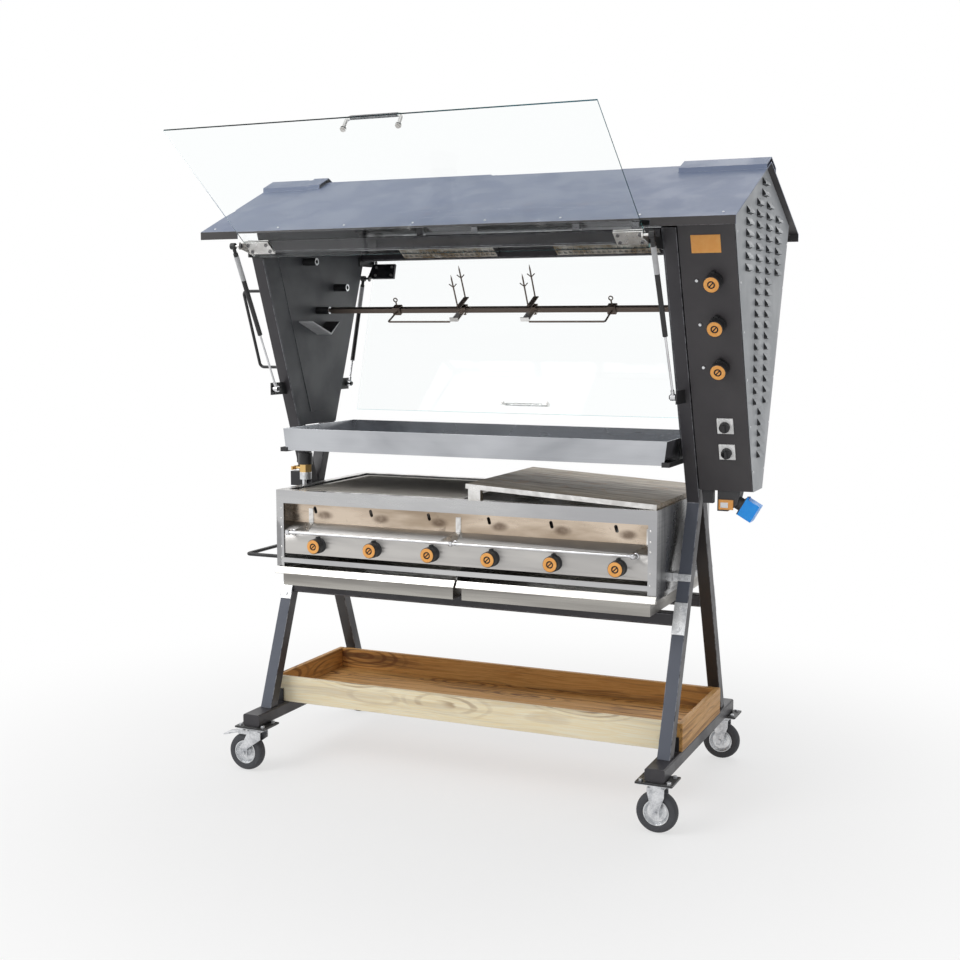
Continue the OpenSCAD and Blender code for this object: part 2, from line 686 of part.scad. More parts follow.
// Knob standing on z = 0, with a blind bore from below
module knob(d, h, depth) {
  bore = spindle_d / 2 + pin_play;
  color("black") rotate_extrude()
    polygon([[bore, 0], [d / 2 - knob_edge / 2, 0], [d / 2, knob_edge / 2], [d / 2, h - face_t - knob_edge / 2],
             [d / 2 - knob_edge / 2, h - face_t], [0, h - face_t], [0, depth], [bore, depth]]);
}
module dial_knob() {
  knob(knob_d, knob_h, spindle_top + gap);
  color("orange") translate([0, 0, knob_h - face_t]) difference() {
    cylinder(d = knob_d - knob_edge, h = face_t);
    translate([0, 0, face_t / 2]) cylinder(r = face_in, h = face_t);
  }
  color("black") translate([0, 0, knob_h - face_t / 2])
    block([-pointer_w / 2, -face_in + pointer_w / 2, 0], [pointer_w / 2, face_in - pointer_w / 2, face_t]);
}
module switch_knob() {
  knob(switch_d, switch_h, switch_h / 2 + gap);
  color("black") translate([0, 0, switch_h - face_t])
    block([-pointer_w, -switch_d / 2 + knob_edge, 0],
          [pointer_w, switch_d / 2 - knob_edge, face_t + pointer_w]);
}

// What is fixed to the control panel: bezels and spindles, switch plates, studs and a bare plate
stud_side = 51;
stud_head_d = 9;
stud_head_h = 5;
badge_w = 84;
badge_h = 52;
badge_z = 1688;
badge_x = 785;
switch_t = 5;
module panel_fittings() {
  for (i = [0 : 2]) {
    z = hood_knob_z + i * hood_knob_pitch;
    color("black") on_panel(hood_knob_x, z) bezel();
    color("silver") on_panel(hood_knob_x, z) spindle(bezel_h, bezel_h + spindle_top);
    color("silver") on_panel(hood_knob_x - stud_side, z) cylinder(d = stud_head_d, h = stud_head_h);
  }
  for (i = [0 : 1]) {
    z = switch_z + i * switch_pitch;
    color("white") on_panel(hood_knob_x, z) difference() {
      block([-switch_plate / 2, -switch_plate / 2, 0], [switch_plate / 2, switch_plate / 2, switch_t]);
      translate([0, 0, -overrun]) cylinder(d = spindle_hole, h = switch_t + 2 * overrun);
    }
    color("silver") on_panel(hood_knob_x, z) spindle(bezel_h, switch_t + switch_h / 2);
  }
  color("orange") on_panel(badge_x, badge_z)
    block([-badge_w / 2, -badge_h / 2, 0], [badge_w / 2, badge_h / 2, panel_t / 2]);
}

// Mains inlet under the housing, with a hinged cap, and a rocker switch
inlet_y = -30;
inlet_turn = 30;
inlet_body_x = [762, 832];
inlet_body_h = 62;
inlet_body_d = 50;
inlet_slant = 38;
cap_w = 48;
cap_h = 56;
cap_d = 46;
cap_t = 3;
cap_x = 836;
cap_z = 922;
cap_pin_d = 4;
socket_d = 40;
socket_len = 34;
rocker_w = 44;
rocker_h = 30;
rocker_t = 5;
bracket_x = [714, 745];
module cap_place() translate([cap_x, inlet_y, cap_z]) rotate([0, inlet_turn, 0]) children();
module inlet_housing() {
  color("black") {
    block([bracket_x[0], inlet_y - inlet_body_d / 4, casing_z - inlet_body_h * 2 / 3],
          [bracket_x[1], inlet_y + inlet_body_d / 4, casing_z]);
    translate([0, inlet_y, 0]) along_y(-inlet_body_d / 2, inlet_body_d / 2)
      polygon([[inlet_body_x[0], casing_z - inlet_body_h],
               [inlet_body_x[1] - inlet_slant, casing_z - inlet_body_h],
               [inlet_body_x[1] - inlet_slant / 4, casing_z - inlet_body_h * 2 / 3],
               [inlet_body_x[1], casing_z], [inlet_body_x[0], casing_z]]);
    cap_place() {
      translate([-socket_len - gap, 0, 0]) rotate([0, 90, 0]) cylinder(d = socket_d, h = socket_len);
      difference() {
        block([-cap_t - gap, -cap_pin_d, cap_h / 2 - cap_t], [cap_pin_d, cap_pin_d, cap_h / 2 + cap_pin_d]);
        pin_y(0, -cap_w, cap_w, cap_h / 2 + cap_pin_d / 2, cap_pin_d + 2 * pin_play);
      }
      block([-cap_t - gap, -cap_w / 2, -cap_h / 2], [-gap, cap_w / 2, cap_h / 2]);
    }
  }
  color("orange") translate([0, inlet_y - inlet_body_d / 2 - rocker_t, 0])
    block([inlet_body_x[0] + rocker_t, 0, casing_z - inlet_body_h + rocker_t],
          [inlet_body_x[0] + rocker_t + rocker_w, rocker_t, casing_z - inlet_body_h + rocker_t + rocker_h]);
}
// Cap shell, open towards the socket, on a hinge pin along its top edge
module inlet_cap() color("dodgerblue") cap_place() {
  difference() {
    block([0, -cap_w / 2, -cap_h / 2], [cap_d, cap_w / 2, cap_h / 2]);
    block([-overrun, cap_t - cap_w / 2, cap_t - cap_h / 2],
          [cap_d - cap_t, cap_w / 2 - cap_t, cap_h / 2 - cap_t]);
    block([-overrun, -cap_pin_d - gap, cap_h / 2 - cap_t - gap],
          [cap_pin_d + gap, cap_pin_d + gap, cap_h / 2 + overrun]);
  }
  two_y()
    block([0, cap_pin_d + gap, cap_h / 2 - cap_t], [cap_pin_d, cap_w / 3, cap_h / 2 + cap_pin_d]);
  pin_y(0, -cap_w / 3, cap_w / 3, cap_h / 2 + cap_pin_d / 2, cap_pin_d);
}

// Push handles on the left: one along the front post, one across the end of the firebox
post_handle_z = [1325, 1575];
post_handle_out = 75;
post_handle_d = 10;
end_handle_x = 790;
end_handle_y = 258;
end_handle_z = 700;
end_handle_d = 12;
handle_bend = 14;
function post_mid(z) = leg_dy / 2 - face_y(z);
module push_handles() color("dimgray") {
  z = (post_handle_z[0] + post_handle_z[1]) / 2;
  translate([-leg_out - post_handle_out, post_mid(z), z]) rotate([90 + upper_lean, 0, 0]) rotate([90, 0, 90])
    grip((post_handle_z[1] - post_handle_z[0]) / cos(upper_lean), post_handle_out, handle_bend, post_handle_d);
  translate([-end_handle_x, 0, end_handle_z]) rotate([90, 0, 90])
    grip(2 * end_handle_y, end_handle_x - box_half, handle_bend, end_handle_d);
}

// Brackets on the posts: tray hooks, feet of the gas struts and the fixed halves of the door hinges
hook_y = tray_y + hook_t + gap;
hook_lap = 15;
hook_in = tray_half - hook_lap;
hook_up = 10;
foot_h = 40;
foot_t = 4;
foot_x = strut_x + cylinder_d / 2 + gap + stud_d / 3;
head_d = 13;
head_t = 3.6;
hinge_plate_t = 4;
hinge_plate_h = 32;
hinge_pin_d = 8;
flange_x = glass_half + 2;
flange_reach = 11;
flange_neck = 9;
module post_brackets() color("black") two_x() two_y() {
  block([leg_in - hook_t, -hook_y, tray_z - gap - hook_t], [leg_in, -post_web, tray_z + hook_up]);
  block([hook_in, -hook_y, tray_z - gap - hook_t], [leg_in, -post_web, tray_z - gap]);
  block([hook_in, -hook_y, tray_z - gap - hook_t], [leg_in, hook_t - hook_y, tray_z + hook_up]);
  along_x(foot_x, foot_x + foot_t)
    polygon([[-strut_y - head_d, strut_z - foot_h / 2], [-face_y(strut_z - foot_h / 2), strut_z - foot_h / 2],
             [-face_y(strut_z + foot_h / 2), strut_z + foot_h / 2], [-strut_y - head_d, strut_z + foot_h / 2]]);
  pin_x(strut_x - cylinder_d / 2 - gap - head_t, foot_x, -strut_y, strut_z, stud_d);
  pin_x(strut_x + cylinder_d / 2 + gap, foot_x, -strut_y, strut_z, head_d);
  pin_x(strut_x - cylinder_d / 2 - gap - head_t, strut_x - cylinder_d / 2 - gap, -strut_y, strut_z, head_d);
  block([panel_x - hinge_plate_t, -hinge_y - flange_reach, hinge_z - hinge_plate_h / 2],
        [panel_x, field_margin / 3 - face_y(hinge_z - hinge_plate_h / 2), hinge_z + hinge_plate_h / 2]);
  pin_x(flange_x - gap - head_t, panel_x - hinge_plate_t, -hinge_y, hinge_z, hinge_pin_d);
  pin_x(flange_x - gap - head_t, flange_x - gap, -hinge_y, hinge_z, head_d);
}
post_web = 70;

// Spit holders on the left panel: three tubes and an angle iron rest
rest_right = -605;
rest_front = 121;
rest_rear = 59;
rest_drop = 41;
rest_t = 4;
journal_bore = journal_d + 2 * pin_play;
spit_end = panel_x - holder_len;
module spit_rests() {
  color("silver") for (p = spit_places) difference() {
    pin_x(field_t - panel_x, -spit_end, p.x, p.y, holder_d);
    pin_x(-panel_x + holder_len / 3, -spit_end + overrun, p.x, p.y, journal_bore);
  }
  color("dimgray") along_x(field_t - panel_x, rest_right)
    polygon([[-rest_front, spit_z - rest_drop + rest_t], [-rest_front, spit_z - rest_drop],
             [-rest_t, spit_z - 2 * rest_drop], [rest_t, spit_z - 2 * rest_drop],
             [rest_rear, spit_z - rest_drop], [rest_rear, spit_z - rest_drop + rest_t],
             [0, spit_z - 2 * rest_drop + rest_t + rest_t / 2]]);
}

// Geared spit motors behind the right panel
motor_w = 64;
motor_len = 70;
motor_d = 52;
motor_tail = 60;
journal_len = 52;
module drive_motors() color("dimgray") for (p = spit_places) difference() {
  union() {
    translate([leg_in, p.x, p.y]) block([0, -motor_w / 2, -motor_w / 2], [motor_len, motor_w / 2, motor_w / 2]);
    pin_x(leg_in + motor_len, leg_in + motor_len + motor_tail, p.x, p.y, motor_d);
  }
  pin_x(leg_in - overrun, panel_x + journal_len + gap, p.x, p.y, journal_bore);
}

// Hood lining with two radiant burners hung behind the spit
lining_drop = 25;
lining_t = 2;
lining_y = 322;
radiant_x = 290;
radiant_w = 360;
radiant_l = 72;
radiant_t = 30;
radiant_y = 260;
radiant_z = 1720;
radiant_tilt = 33.7;
chamber_w = 170;
chamber_l = 52;
chamber_t = 34;
hanger_w = 24;
hanger_t = 4;
hanger_x = 104;
plaque_cells = [18, 3];
plaque_edge = 8;
plaque_bar = 9;
plaque_t = 4;
module radiant_burners() {
  edge = eave_level(lining_y) - lining_drop;
  top = ridge_z - lining_drop;
  color("silver") along_x(field_t - panel_x, panel_x - field_t)
    polygon([[-lining_y, edge], [0, top], [lining_y, edge], [lining_y, edge - lining_t],
             [0, top - lining_t], [-lining_y, edge - lining_t]]);
  two_x() translate([radiant_x, radiant_y, radiant_z]) {
    rotate([-radiant_tilt, 0, 0]) {
      color("silver") {
        block([-radiant_w / 2, -radiant_l / 2, plaque_t], [radiant_w / 2, radiant_l / 2, radiant_t]);
        translate([-radiant_w / 2, -radiant_l / 2, 0]) linear_extrude(plaque_t)
          perforated([radiant_w, radiant_l], [plaque_edge, plaque_edge],
                     plaque_cells.x, plaque_cells.y, plaque_bar);
      }
      color("tan")
        block([-chamber_w / 2, -chamber_l / 2, radiant_t],
              [chamber_w / 2, chamber_l / 2, radiant_t + chamber_t]);
    }
    // Two straps up to the lining
    color("silver") for (s = [-1, 1]) translate([s * hanger_x, 0, 0]) along_x(-hanger_w / 2, hanger_w / 2)
      polygon([[0, radiant_t / 2], [hanger_t, radiant_t / 2],
               [hanger_t, eave_level(radiant_y + hanger_t) - lining_drop - lining_t - radiant_z],
               [0, eave_level(radiant_y) - lining_drop - lining_t - radiant_z - hanger_t / 2]]);
  }
}

// Firebox
back_y = box_y - sheet;
strip_h = 16;
strip_z = 690;
ledge_w = 28;
ledge_z = box_top - sheet - mesh_t - gap;
rail_t = 3;
rail_reach = 13;
rail_drop = 17;
guide_z = box_z - rail_drop;
pipe_d = 14;
manifold_d = 20;
manifold_y = 270;
module firebox() color("silver") {
  difference() {
    two_x() block([box_half - sheet, -box_y, box_z], [box_half, box_y, box_top]);
    pin_x(-box_half - overrun, overrun - box_half + sheet, -manifold_y, knob_z, pipe_d + 2 * gap);
  }
  two_x() {
    block([box_half - flange_w, -box_y, box_z], [box_half - sheet, -back_y, box_top]);
    block([box_half - rim_d, -box_y, box_top - sheet], [box_half - sheet, box_y, box_top]);
  }
  block([flange_w - box_half, -box_y, box_top - top_rail_h], [box_half - flange_w, -back_y, box_top]);
  block([sheet - box_half, back_y, box_z], [box_half - sheet, box_y, box_top]);
  two_y() block([rim_d - box_half, -box_y, box_top - sheet], [box_half - rim_d, rim_d - box_y, box_top]);
  // Rear ledge for the grates, bottom strip, middle beam and drawer guides
  block([sheet - box_half, back_y - ledge_w * 3, ledge_z - sheet], [box_half - sheet, back_y, ledge_z]);
  block([flange_w - box_half, -box_y, strip_z], [box_half - flange_w, -back_y, strip_z + strip_h]);
  block([drawer_mid - rail_t / 2, gap - drawer_front, guide_z], [drawer_mid + rail_t / 2, back_y, box_z]);
  block([drawer_mid - rail_t / 2, -back_y, box_z], [drawer_mid + rail_t / 2, back_y, strip_z + strip_h]);
  block([drawer_mid - rail_reach - rail_t / 2, gap - drawer_front, guide_z],
        [drawer_mid + rail_reach + rail_t / 2, back_y, guide_z + rail_t]);
  two_x() {
    block([box_half - sheet - rail_t, gap - drawer_front, guide_z], [box_half - sheet, back_y, box_z + rail_t]);
    block([box_half - sheet - rail_t - rail_reach, gap - drawer_front, guide_z],
          [box_half - sheet, back_y, guide_z + rail_t]);
  }
}

// Slotted flame shield behind the front rail, with the front grate ledge
shield_y = box_y - shield_back;
slot_left_in = 119.5;
slot_right_in = 139.5;
slot_pitch = (2 * box_half - slot_left_in - slot_right_in) / (burners - 1);
slot_mid = (slot_left_in - slot_right_in) / 2;
slot_turn = 16;
strap_w = 16;
strap_top = 867;
strap_t = 4;
strap_in = [105, 37];
strap_x = [strap_in[0] - box_half, slot_mid, box_half - strap_in[1]];
module slot_shape() rotate(slot_turn) {
  square([slot_w, slot_h - slot_w], center = true);
  for (s = [-1, 1]) translate([0, s * (slot_h - slot_w) / 2]) circle(d = slot_w);
}
module slot_shield() {
  color("tan") difference() {
    block([sheet - box_half, -shield_y, shield_z], [box_half - sheet, sheet - shield_y, ledge_z]);
    for (i = [0 : burners - 1]) translate([slot_mid + (i - (burners - 1) / 2) * slot_pitch, 0, slot_z])
      along_y(-shield_y - overrun, sheet - shield_y + overrun) slot_shape();
  }
  color("silver") {
    block([sheet - box_half, sheet - shield_y, ledge_z - sheet],
          [box_half - sheet, ledge_w - shield_y, ledge_z]);
    for (x = strap_x)
      block([x - strap_w / 2, -shield_y - strap_t, shield_z], [x + strap_w / 2, -shield_y, strap_top]);
  }
}

// Control fascia with the burner bezels
fascia_y = box_y - fascia_back;
burner_pitch = (2 * box_half - burner_left_in - burner_right_in) / (burners - 1);
burner_mid = (burner_left_in - burner_right_in) / 2;
function burner_x(i) = burner_mid + (i - (burners - 1) / 2) * burner_pitch;
module on_fascia(i) translate([burner_x(i), -fascia_y, knob_z]) rotate([90, 0, 0]) children();
module fascia() {
  color("silver") difference() {
    along_x(sheet - box_half, box_half - sheet)
      polygon([[-shield_y, shield_z], [-fascia_y, fascia_top], [-fascia_y, fascia_z],
               [sheet - fascia_y, fascia_z], [sheet - fascia_y, fascia_top - sheet / 2],
               [-shield_y, shield_z - sheet * 5 / 4]]);
    for (i = [0 : burners - 1]) on_fascia(i)
      translate([0, 0, -sheet - overrun]) cylinder(d = spindle_hole, h = sheet + 2 * overrun);
  }
  color("black") for (i = [0 : burners - 1]) on_fascia(i) bezel();
}
module front_bar() color("silver") {
  bar_y = fascia_y + bar_reach;
  bar_half = box_half - 2 * flange_w;
  pin_x(-bar_half, bar_half, -bar_y, bar_z, bar_d);
  for (x = [-bar_half + bar_d, 0, bar_half - bar_d]) {
    pin_y(x, -bar_y, -fascia_y, bar_z - bar_d / 2, bar_d);
    pin_y(x, -fascia_y - sheet, -fascia_y, bar_z - bar_d / 2, 2 * bar_d);
    pin_x(x - bar_d / 2, x + bar_d / 2, -bar_y, bar_z, 2 * bar_d);
  }
}

// Burner tubes, their jets, the manifold and the valve spindles
neck_d = 18;
valve_d = 22;
burner_front = shield_y - ledge_w;
// The way from the manifold to a tube, and the part of it that the open jet takes
jet_gap = 3;
neck_way = [manifold_y - burner_front, burner_z - knob_z];
neck_start = (manifold_d / 2 + jet_gap) / norm(neck_way);
module burner_set() {
  color("dimgray") for (i = [0 : burners - 1]) {
    pin_y(burner_x(i), -burner_front, back_y, burner_z, burner_d);
    rod([burner_x(i), neck_start * neck_way.x - manifold_y, knob_z + neck_start * neck_way.y],
        [burner_x(i), overrun - burner_front, burner_z], neck_d);
  }
  color("gold") {
    pin_x(-box_half + sheet + gap, burner_x(burners - 1) + burner_d, -manifold_y, knob_z, manifold_d);
    for (i = [0 : burners - 1]) {
      pin_y(burner_x(i), sheet + gap - fascia_y, -manifold_y, knob_z, valve_d);
      on_fascia(i) spindle(sheet + gap, bezel_h + spindle_top);
    }
  }
}

// Gas regulator on the left waist, with its pipe down the side of the firebox
reg_x = 650;
reg_y = 106;
reg_d = 48;
reg_z = [944, 1034];
reg_neck = 34;
valve_z = 982;
hex_d = 44;
hex_h = 26;
stem_d = 8;
stem_x = [672, 694];
pipe_x = (box_half + leg_in) / 2;
reg_box_x = [678, 722];
reg_box_z = [918, 967];
reg_box_y = 86;
reg_fit = 0.02;
neck_z = [reg_z[1] - reg_neck, reg_z[1] - reg_neck / 2];
module gas_regulator() {
  color("silver") translate([-reg_x, -reg_y, 0]) {
    translate([0, 0, valve_z + hex_h / 2]) cylinder(d = reg_d, h = reg_z[1] - valve_z - hex_h / 2);
    translate([0, 0, reg_z[0]]) cylinder(d = reg_d - stem_d, h = valve_z - hex_h / 2 - reg_z[0]);
  }
  color("gold") {
    translate([-reg_x, -reg_y, valve_z - hex_h / 2]) hex_head(hex_d, hex_h);
    pin_x(-stem_x[1] + gap, -reg_x, -reg_y, valve_z, stem_d);
  }
  color("silver") {
    translate([-pipe_x, -reg_y, knob_z + pipe_d]) cylinder(d = pipe_d, h = reg_z[0] - knob_z - pipe_d);
    translate([-pipe_x, -reg_y - pipe_d, knob_z]) rotate([0, 0, 90]) bend(pipe_d, pipe_d);
    pin_y(-pipe_x, pipe_x - box_half - manifold_y, -reg_y - pipe_d, knob_z, pipe_d);
    translate([-box_half, -manifold_y, knob_z]) rotate([90, 0, 180]) bend(pipe_x - box_half, pipe_d);
    pin_x(-box_half, sheet + gap - box_half, -manifold_y, knob_z, pipe_d);
  }
  color("black") {
    along_x(-reg_box_x[1], -reg_box_x[0])
      polygon([[-reg_box_y, reg_box_z[0]], [-reg_fit - face_y(reg_box_z[0]), reg_box_z[0]],
               [-reg_fit - leg_dy, waist_z], [-reg_fit - face_y(reg_box_z[1]), reg_box_z[1]],
               [-reg_box_y, reg_box_z[1]]]);
    along_x(-leg_in - leg / 2, -reg_x)
      polygon([[-reg_y, neck_z[0]], [-reg_fit - face_y(neck_z[0]), neck_z[0]],
               [-reg_fit - face_y(neck_z[1]), neck_z[1]], [-reg_y, neck_z[1]]]);
  }
}
// Wing lever of the gas valve
wing_len = 44;
wing_w = 13;
wing_t = 6;
module valve_lever() color("gold") difference() {
  along_x(-stem_x[1], wing_t - stem_x[1])
    translate([-reg_y, valve_z]) {
      polygon([[-wing_len / 2, wing_w / 2], [-wing_len / 2, -wing_w / 2], [0, -wing_w / 3],
               [wing_len / 2, -wing_w / 2], [wing_len / 2, wing_w / 2], [0, wing_w / 3]]);
      circle(d = stem_d + wing_w / 2);
    }
  pin_x(-stem_x[1] - overrun, wing_t + overrun - stem_x[1], -reg_y, valve_z, stem_d + 2 * pin_play);
}

// Grates
mesh_right = 3;
mesh_bar = 6;
module mesh_grate() color("dimgray") {
  translate([mesh_right - mesh_len, -mesh_depth / 2, ledge_z + gap]) linear_extrude(mesh_t)
    perforated([mesh_len, mesh_depth], [mesh_frame, mesh_frame], mesh_columns, mesh_rows, mesh_bar);
}
griddle_right = 640;
griddle_front = 284;
griddle_foot = 41;
griddle_foot_x = 38;
griddle_foot_d = 20;
module griddle_plate() color("gray") {
  rise = (griddle_right - griddle_foot_x) * tan(griddle_tilt);
  translate([griddle_right, -griddle_front, box_top + gap]) rotate([0, griddle_tilt, 0]) difference() {
    block([-griddle_len, 0, 0], [0, griddle_depth, griddle_h]);
    block([griddle_t - griddle_len, griddle_t, -overrun],
          [-griddle_t, griddle_depth - griddle_t, griddle_h - griddle_t]);
  }
  for (y = [-griddle_front, griddle_depth - griddle_front - griddle_foot_d])
    block([griddle_foot_x, y, box_top + gap],
          [griddle_foot_x + griddle_foot, y + griddle_foot_d, box_top + rise]);
}

// Drip drawers, hung by their flanges on the guides
drawer_top = guide_z + rail_t + gap + drawer_t;
drawer_z = drawer_top - drawer_h;
drawer_front = box_y - 2 * sheet;
lip_top = 676;
lip_bottom = 657;
lip_x = [645, 648];
module drawer(x0, x1, lip0, lip1) color("silver") {
  difference() {
    block([x0, -drawer_front, drawer_z], [x1, drawer_len - drawer_front, drawer_top]);
    block([x0 + drawer_t, drawer_t - drawer_front, drawer_z + drawer_t],
          [x1 - drawer_t, drawer_len - drawer_front - drawer_t, drawer_top + overrun]);
  }
  for (x = [x0 - rail_reach, x1 - overrun])
    block([x, -drawer_front, drawer_top - drawer_t],
          [x + rail_reach + overrun, drawer_len - drawer_front, drawer_top]);
  // Sloping lip that covers the front edge of the firebox
  along_x(lip0, lip1)
    polygon([[-box_y - gap - drawer_t, lip_top], [-box_y - gap, lip_top], [-box_y - gap, lip_bottom + lip_out],
             [-drawer_front, lip_bottom - drawer_t], [-box_y - gap - lip_out, lip_bottom - drawer_t],
             [-box_y - gap - lip_out, lip_bottom]]);
}
drawer_out = box_half - sheet - rail_t - rail_reach - gap;
drawer_in = rail_t / 2 + rail_reach + gap;
module left_drawer() drawer(-drawer_out, drawer_mid - drawer_in, -lip_x[0], drawer_mid - drawer_split / 2);
module right_drawer() drawer(drawer_mid + drawer_in, drawer_out, drawer_mid + drawer_split / 2, lip_x[1]);

// Drip tray between spit and firebox, with flared ends
tray_flare = 9;
module tray_end(inset)
  polygon([[inset + tray_flare - tray_half, inset], [tray_half - inset - tray_flare, inset],
           [tray_half - inset, tray_h + inset], [inset - tray_half, tray_h + inset]]);
module drip_tray() color("silver") difference() {
  translate([0, 0, tray_z]) along_y(-tray_y, tray_y) intersection() {
    tray_end(0);
    translate([-tray_half, 0]) square([2 * tray_half, tray_h]);
  }
  translate([0, 0, tray_z]) along_y(tray_t - tray_y, tray_y - tray_t) tray_end(tray_t);
}

// Spit, its meat forks and clamps
module in_spit_frame() translate([0, 0, spit_z]) rotate([spit_turn, 0, 0]) children();
module spit_bar() color("dimgray") {
  in_spit_frame()
    block([spit_bar_left, -spit_side / 2, -spit_side / 2], [spit_bar_right, spit_side / 2, spit_side / 2]);
  pin_x(-panel_x + holder_len / 3 + gap, spit_bar_left, 0, spit_z, journal_d);
  pin_x(spit_bar_right, panel_x + journal_len, 0, spit_z, journal_d);
}
spit_shoulder = 5;
spit_bar_left = spit_shoulder - spit_end;
spit_bar_right = panel_x - field_t - spit_shoulder;
hub_w = 28;
hub_t = 5;
tongue_len = 78;
tongue_t = 3;
tongue_lip = 12;
wing_depth = 84;
wing_width = 18;
wing_up = 12;
barb_drop = 32;
barb_out = 13;
barb_len = 12;
barb_d = 3.5;
prong_tip = 14;
eye_wire = 3;
eye_ring = 13;
eye_up = 24;
brace_d = 6;
brace_out = 80;
screw_d = 9;
hub_side = spit_side + 2 * hub_t;
module prong(y) translate([0, y, hub_side / 2 + wing_up]) {
  cylinder(d = prong_d, h = prong_len - prong_tip);
  translate([0, 0, prong_len - prong_tip]) cylinder(d1 = prong_d, d2 = prong_d / 5, h = prong_tip);
  for (s = [-1, 1])
    rod([0, 0, prong_len - barb_drop - barb_len], [s * barb_out, 0, prong_len - barb_drop], barb_d);
}
module spit_hub(x, w) difference() {
  block([x - w / 2, -hub_side / 2, -hub_side / 2], [x + w / 2, hub_side / 2, hub_side / 2]);
  block([x - w / 2 - overrun, -spit_side / 2, -spit_side / 2],
        [x + w / 2 + overrun, spit_side / 2, spit_side / 2]);
}
module fork_set(x) {
  spit_hub(x, hub_w);
  // Tongue to the front with a turned up lip, and the wing plate that carries the prongs
  block([x - hub_w / 2, -tongue_len, -tongue_t / 2], [x + hub_w / 2, -hub_side / 2, tongue_t / 2]);
  block([x - hub_w / 2, -tongue_len - tongue_t, -tongue_t / 2], [x + hub_w / 2, -tongue_len, tongue_lip]);
  translate([x, 0, 0]) {
    block([-wing_width / 2, -wing_depth / 2, hub_side / 2 + wing_up - tongue_t],
          [wing_width / 2, wing_depth / 2, hub_side / 2 + wing_up]);
    block([-tongue_t, -hub_side / 2, hub_side / 2], [tongue_t, hub_side / 2, hub_side / 2 + wing_up]);
    for (s = [-1, 1]) prong(s * prong_gap / 2);
    pin_y(0, hub_side / 2, hub_side / 2 + screw_d, 0, screw_d);
  }
}
module clamp_set(x, fork_x) {
  spit_hub(x, hub_w);
  translate([x, 0, hub_side / 2]) {
    cylinder(d = prong_d, h = eye_up - eye_ring / 2 - eye_wire / 2);
    translate([0, eye_wire / 2, eye_up]) rotate([90, 0, 0]) linear_extrude(eye_wire) difference() {
      circle(d = eye_ring + eye_wire);
      circle(d = eye_ring - eye_wire);
    }
  }
  // Brace forward and then along to the tongue of the fork
  reach = fork_x - sign(fork_x - x) * hub_w / 2;
  pin_y(x, brace_d - brace_out, -hub_side / 2, -hub_t / 2, brace_d);
  translate([x, -brace_out, -hub_t / 2]) mirror([x > fork_x ? 1 : 0, 0, 0]) {
    translate([brace_d, 0, 0]) rotate([90, 0, 180]) bend(brace_d, brace_d);
    pin_x(brace_d, abs(reach - x) - gap, 0, 0, brace_d);
  }
}
module spit_forks() color("gray") in_spit_frame() {
  fork_set(fork_left_x);
  fork_set(fork_right_x);
  clamp_set(clamp_left_x, fork_left_x);
  clamp_set(clamp_right_x, fork_right_x);
}

// Glass doors. A door is drawn with its hinge along X, Y running down the glass and Z to its inner side.
open_angle = 180 - door_rise;
closed_angle = open_angle + door_swing;
plate_u = 10;
bolt_in = 12;
door_bolt_d = 6;
door_nut_d = 11;
door_nut_h = 4;
handle_u = 512;
handle_bar_z = glass_off - glass_t / 2 - handle_reach;
strut_pin_y = strut_arm * cos(strut_arm_angle);
strut_pin_z = strut_arm * sin(strut_arm_angle);
stud_end = strut_x - cylinder_d / 2 - gap;
washer_t = 2;
module door_place(angle) translate([0, -hinge_y, hinge_z]) rotate([angle, 0, 0]) children();
module bolt_places()
  for (x = [glass_half - bolt_in, glass_half - plate_w + bolt_in],
       y = [plate_u + bolt_in, plate_u + plate_len - bolt_in])
    translate([x, y, glass_off]) children();
module handle_feet() for (s = [-1, 1]) translate([s * handle_span / 2, handle_u, glass_off]) children();
module pane() color("lightcyan") difference() {
  block([-glass_half, -glass_back, glass_off - glass_t / 2],
        [glass_half, glass_len - glass_back, glass_off + glass_t / 2]);
  two_x() bolt_places() cylinder(d = door_bolt_d + 2 * gap, h = 2 * glass_t, center = true);
  handle_feet() cylinder(d = door_bolt_d + 2 * gap, h = 2 * glass_t, center = true);
}
module fittings() {
  color("silver") two_x() {
    block([glass_half - plate_w, plate_u, glass_off + glass_t / 2],
          [flange_x + plate_t, plate_u + plate_len, glass_off + glass_t / 2 + plate_t]);
    block([glass_half - plate_w, plate_u, glass_off - glass_t / 2 - plate_t],
          [glass_half, plate_u + plate_len, glass_off - glass_t / 2]);
    bolt_places() {
      cylinder(d = door_bolt_d, h = glass_t, center = true);
      for (s = [0, 1]) mirror([0, 0, s]) translate([0, 0, glass_t / 2 + plate_t])
        hex_head(door_nut_d, door_nut_h);
    }
    difference() {
      along_x(flange_x, flange_x + plate_t) {
        circle(r = flange_reach);
        rotate(strut_arm_angle) translate([0, -flange_neck]) square([strut_arm, 2 * flange_neck]);
        translate([strut_pin_y, strut_pin_z]) circle(r = flange_reach);
      }
      pin_x(flange_x - overrun, flange_x + plate_t + overrun, 0, 0, hinge_pin_d + 2 * pin_play);
    }
    pin_x(flange_x + plate_t, stud_end, strut_pin_y, strut_pin_z, stud_d);
    pin_x(flange_x - head_t, flange_x, strut_pin_y, strut_pin_z, head_d);
  }
  color("silver") {
    translate([0, handle_u, handle_bar_z])
      grip(handle_span, glass_off - glass_t / 2 - washer_t - handle_bar_z, handle_d, handle_d);
    handle_feet() {
      cylinder(d = door_bolt_d, h = glass_t, center = true);
      for (s = [0, 1]) mirror([0, 0, s]) translate([0, 0, glass_t / 2])
        cylinder(d = handle_d + handle_d / 2, h = washer_t);
      translate([0, 0, glass_t / 2 + washer_t]) hex_head(door_nut_d, door_nut_h);
    }
  }
}
module front_glass() door_place(open_angle) pane();
module front_fittings() door_place(open_angle) fittings();
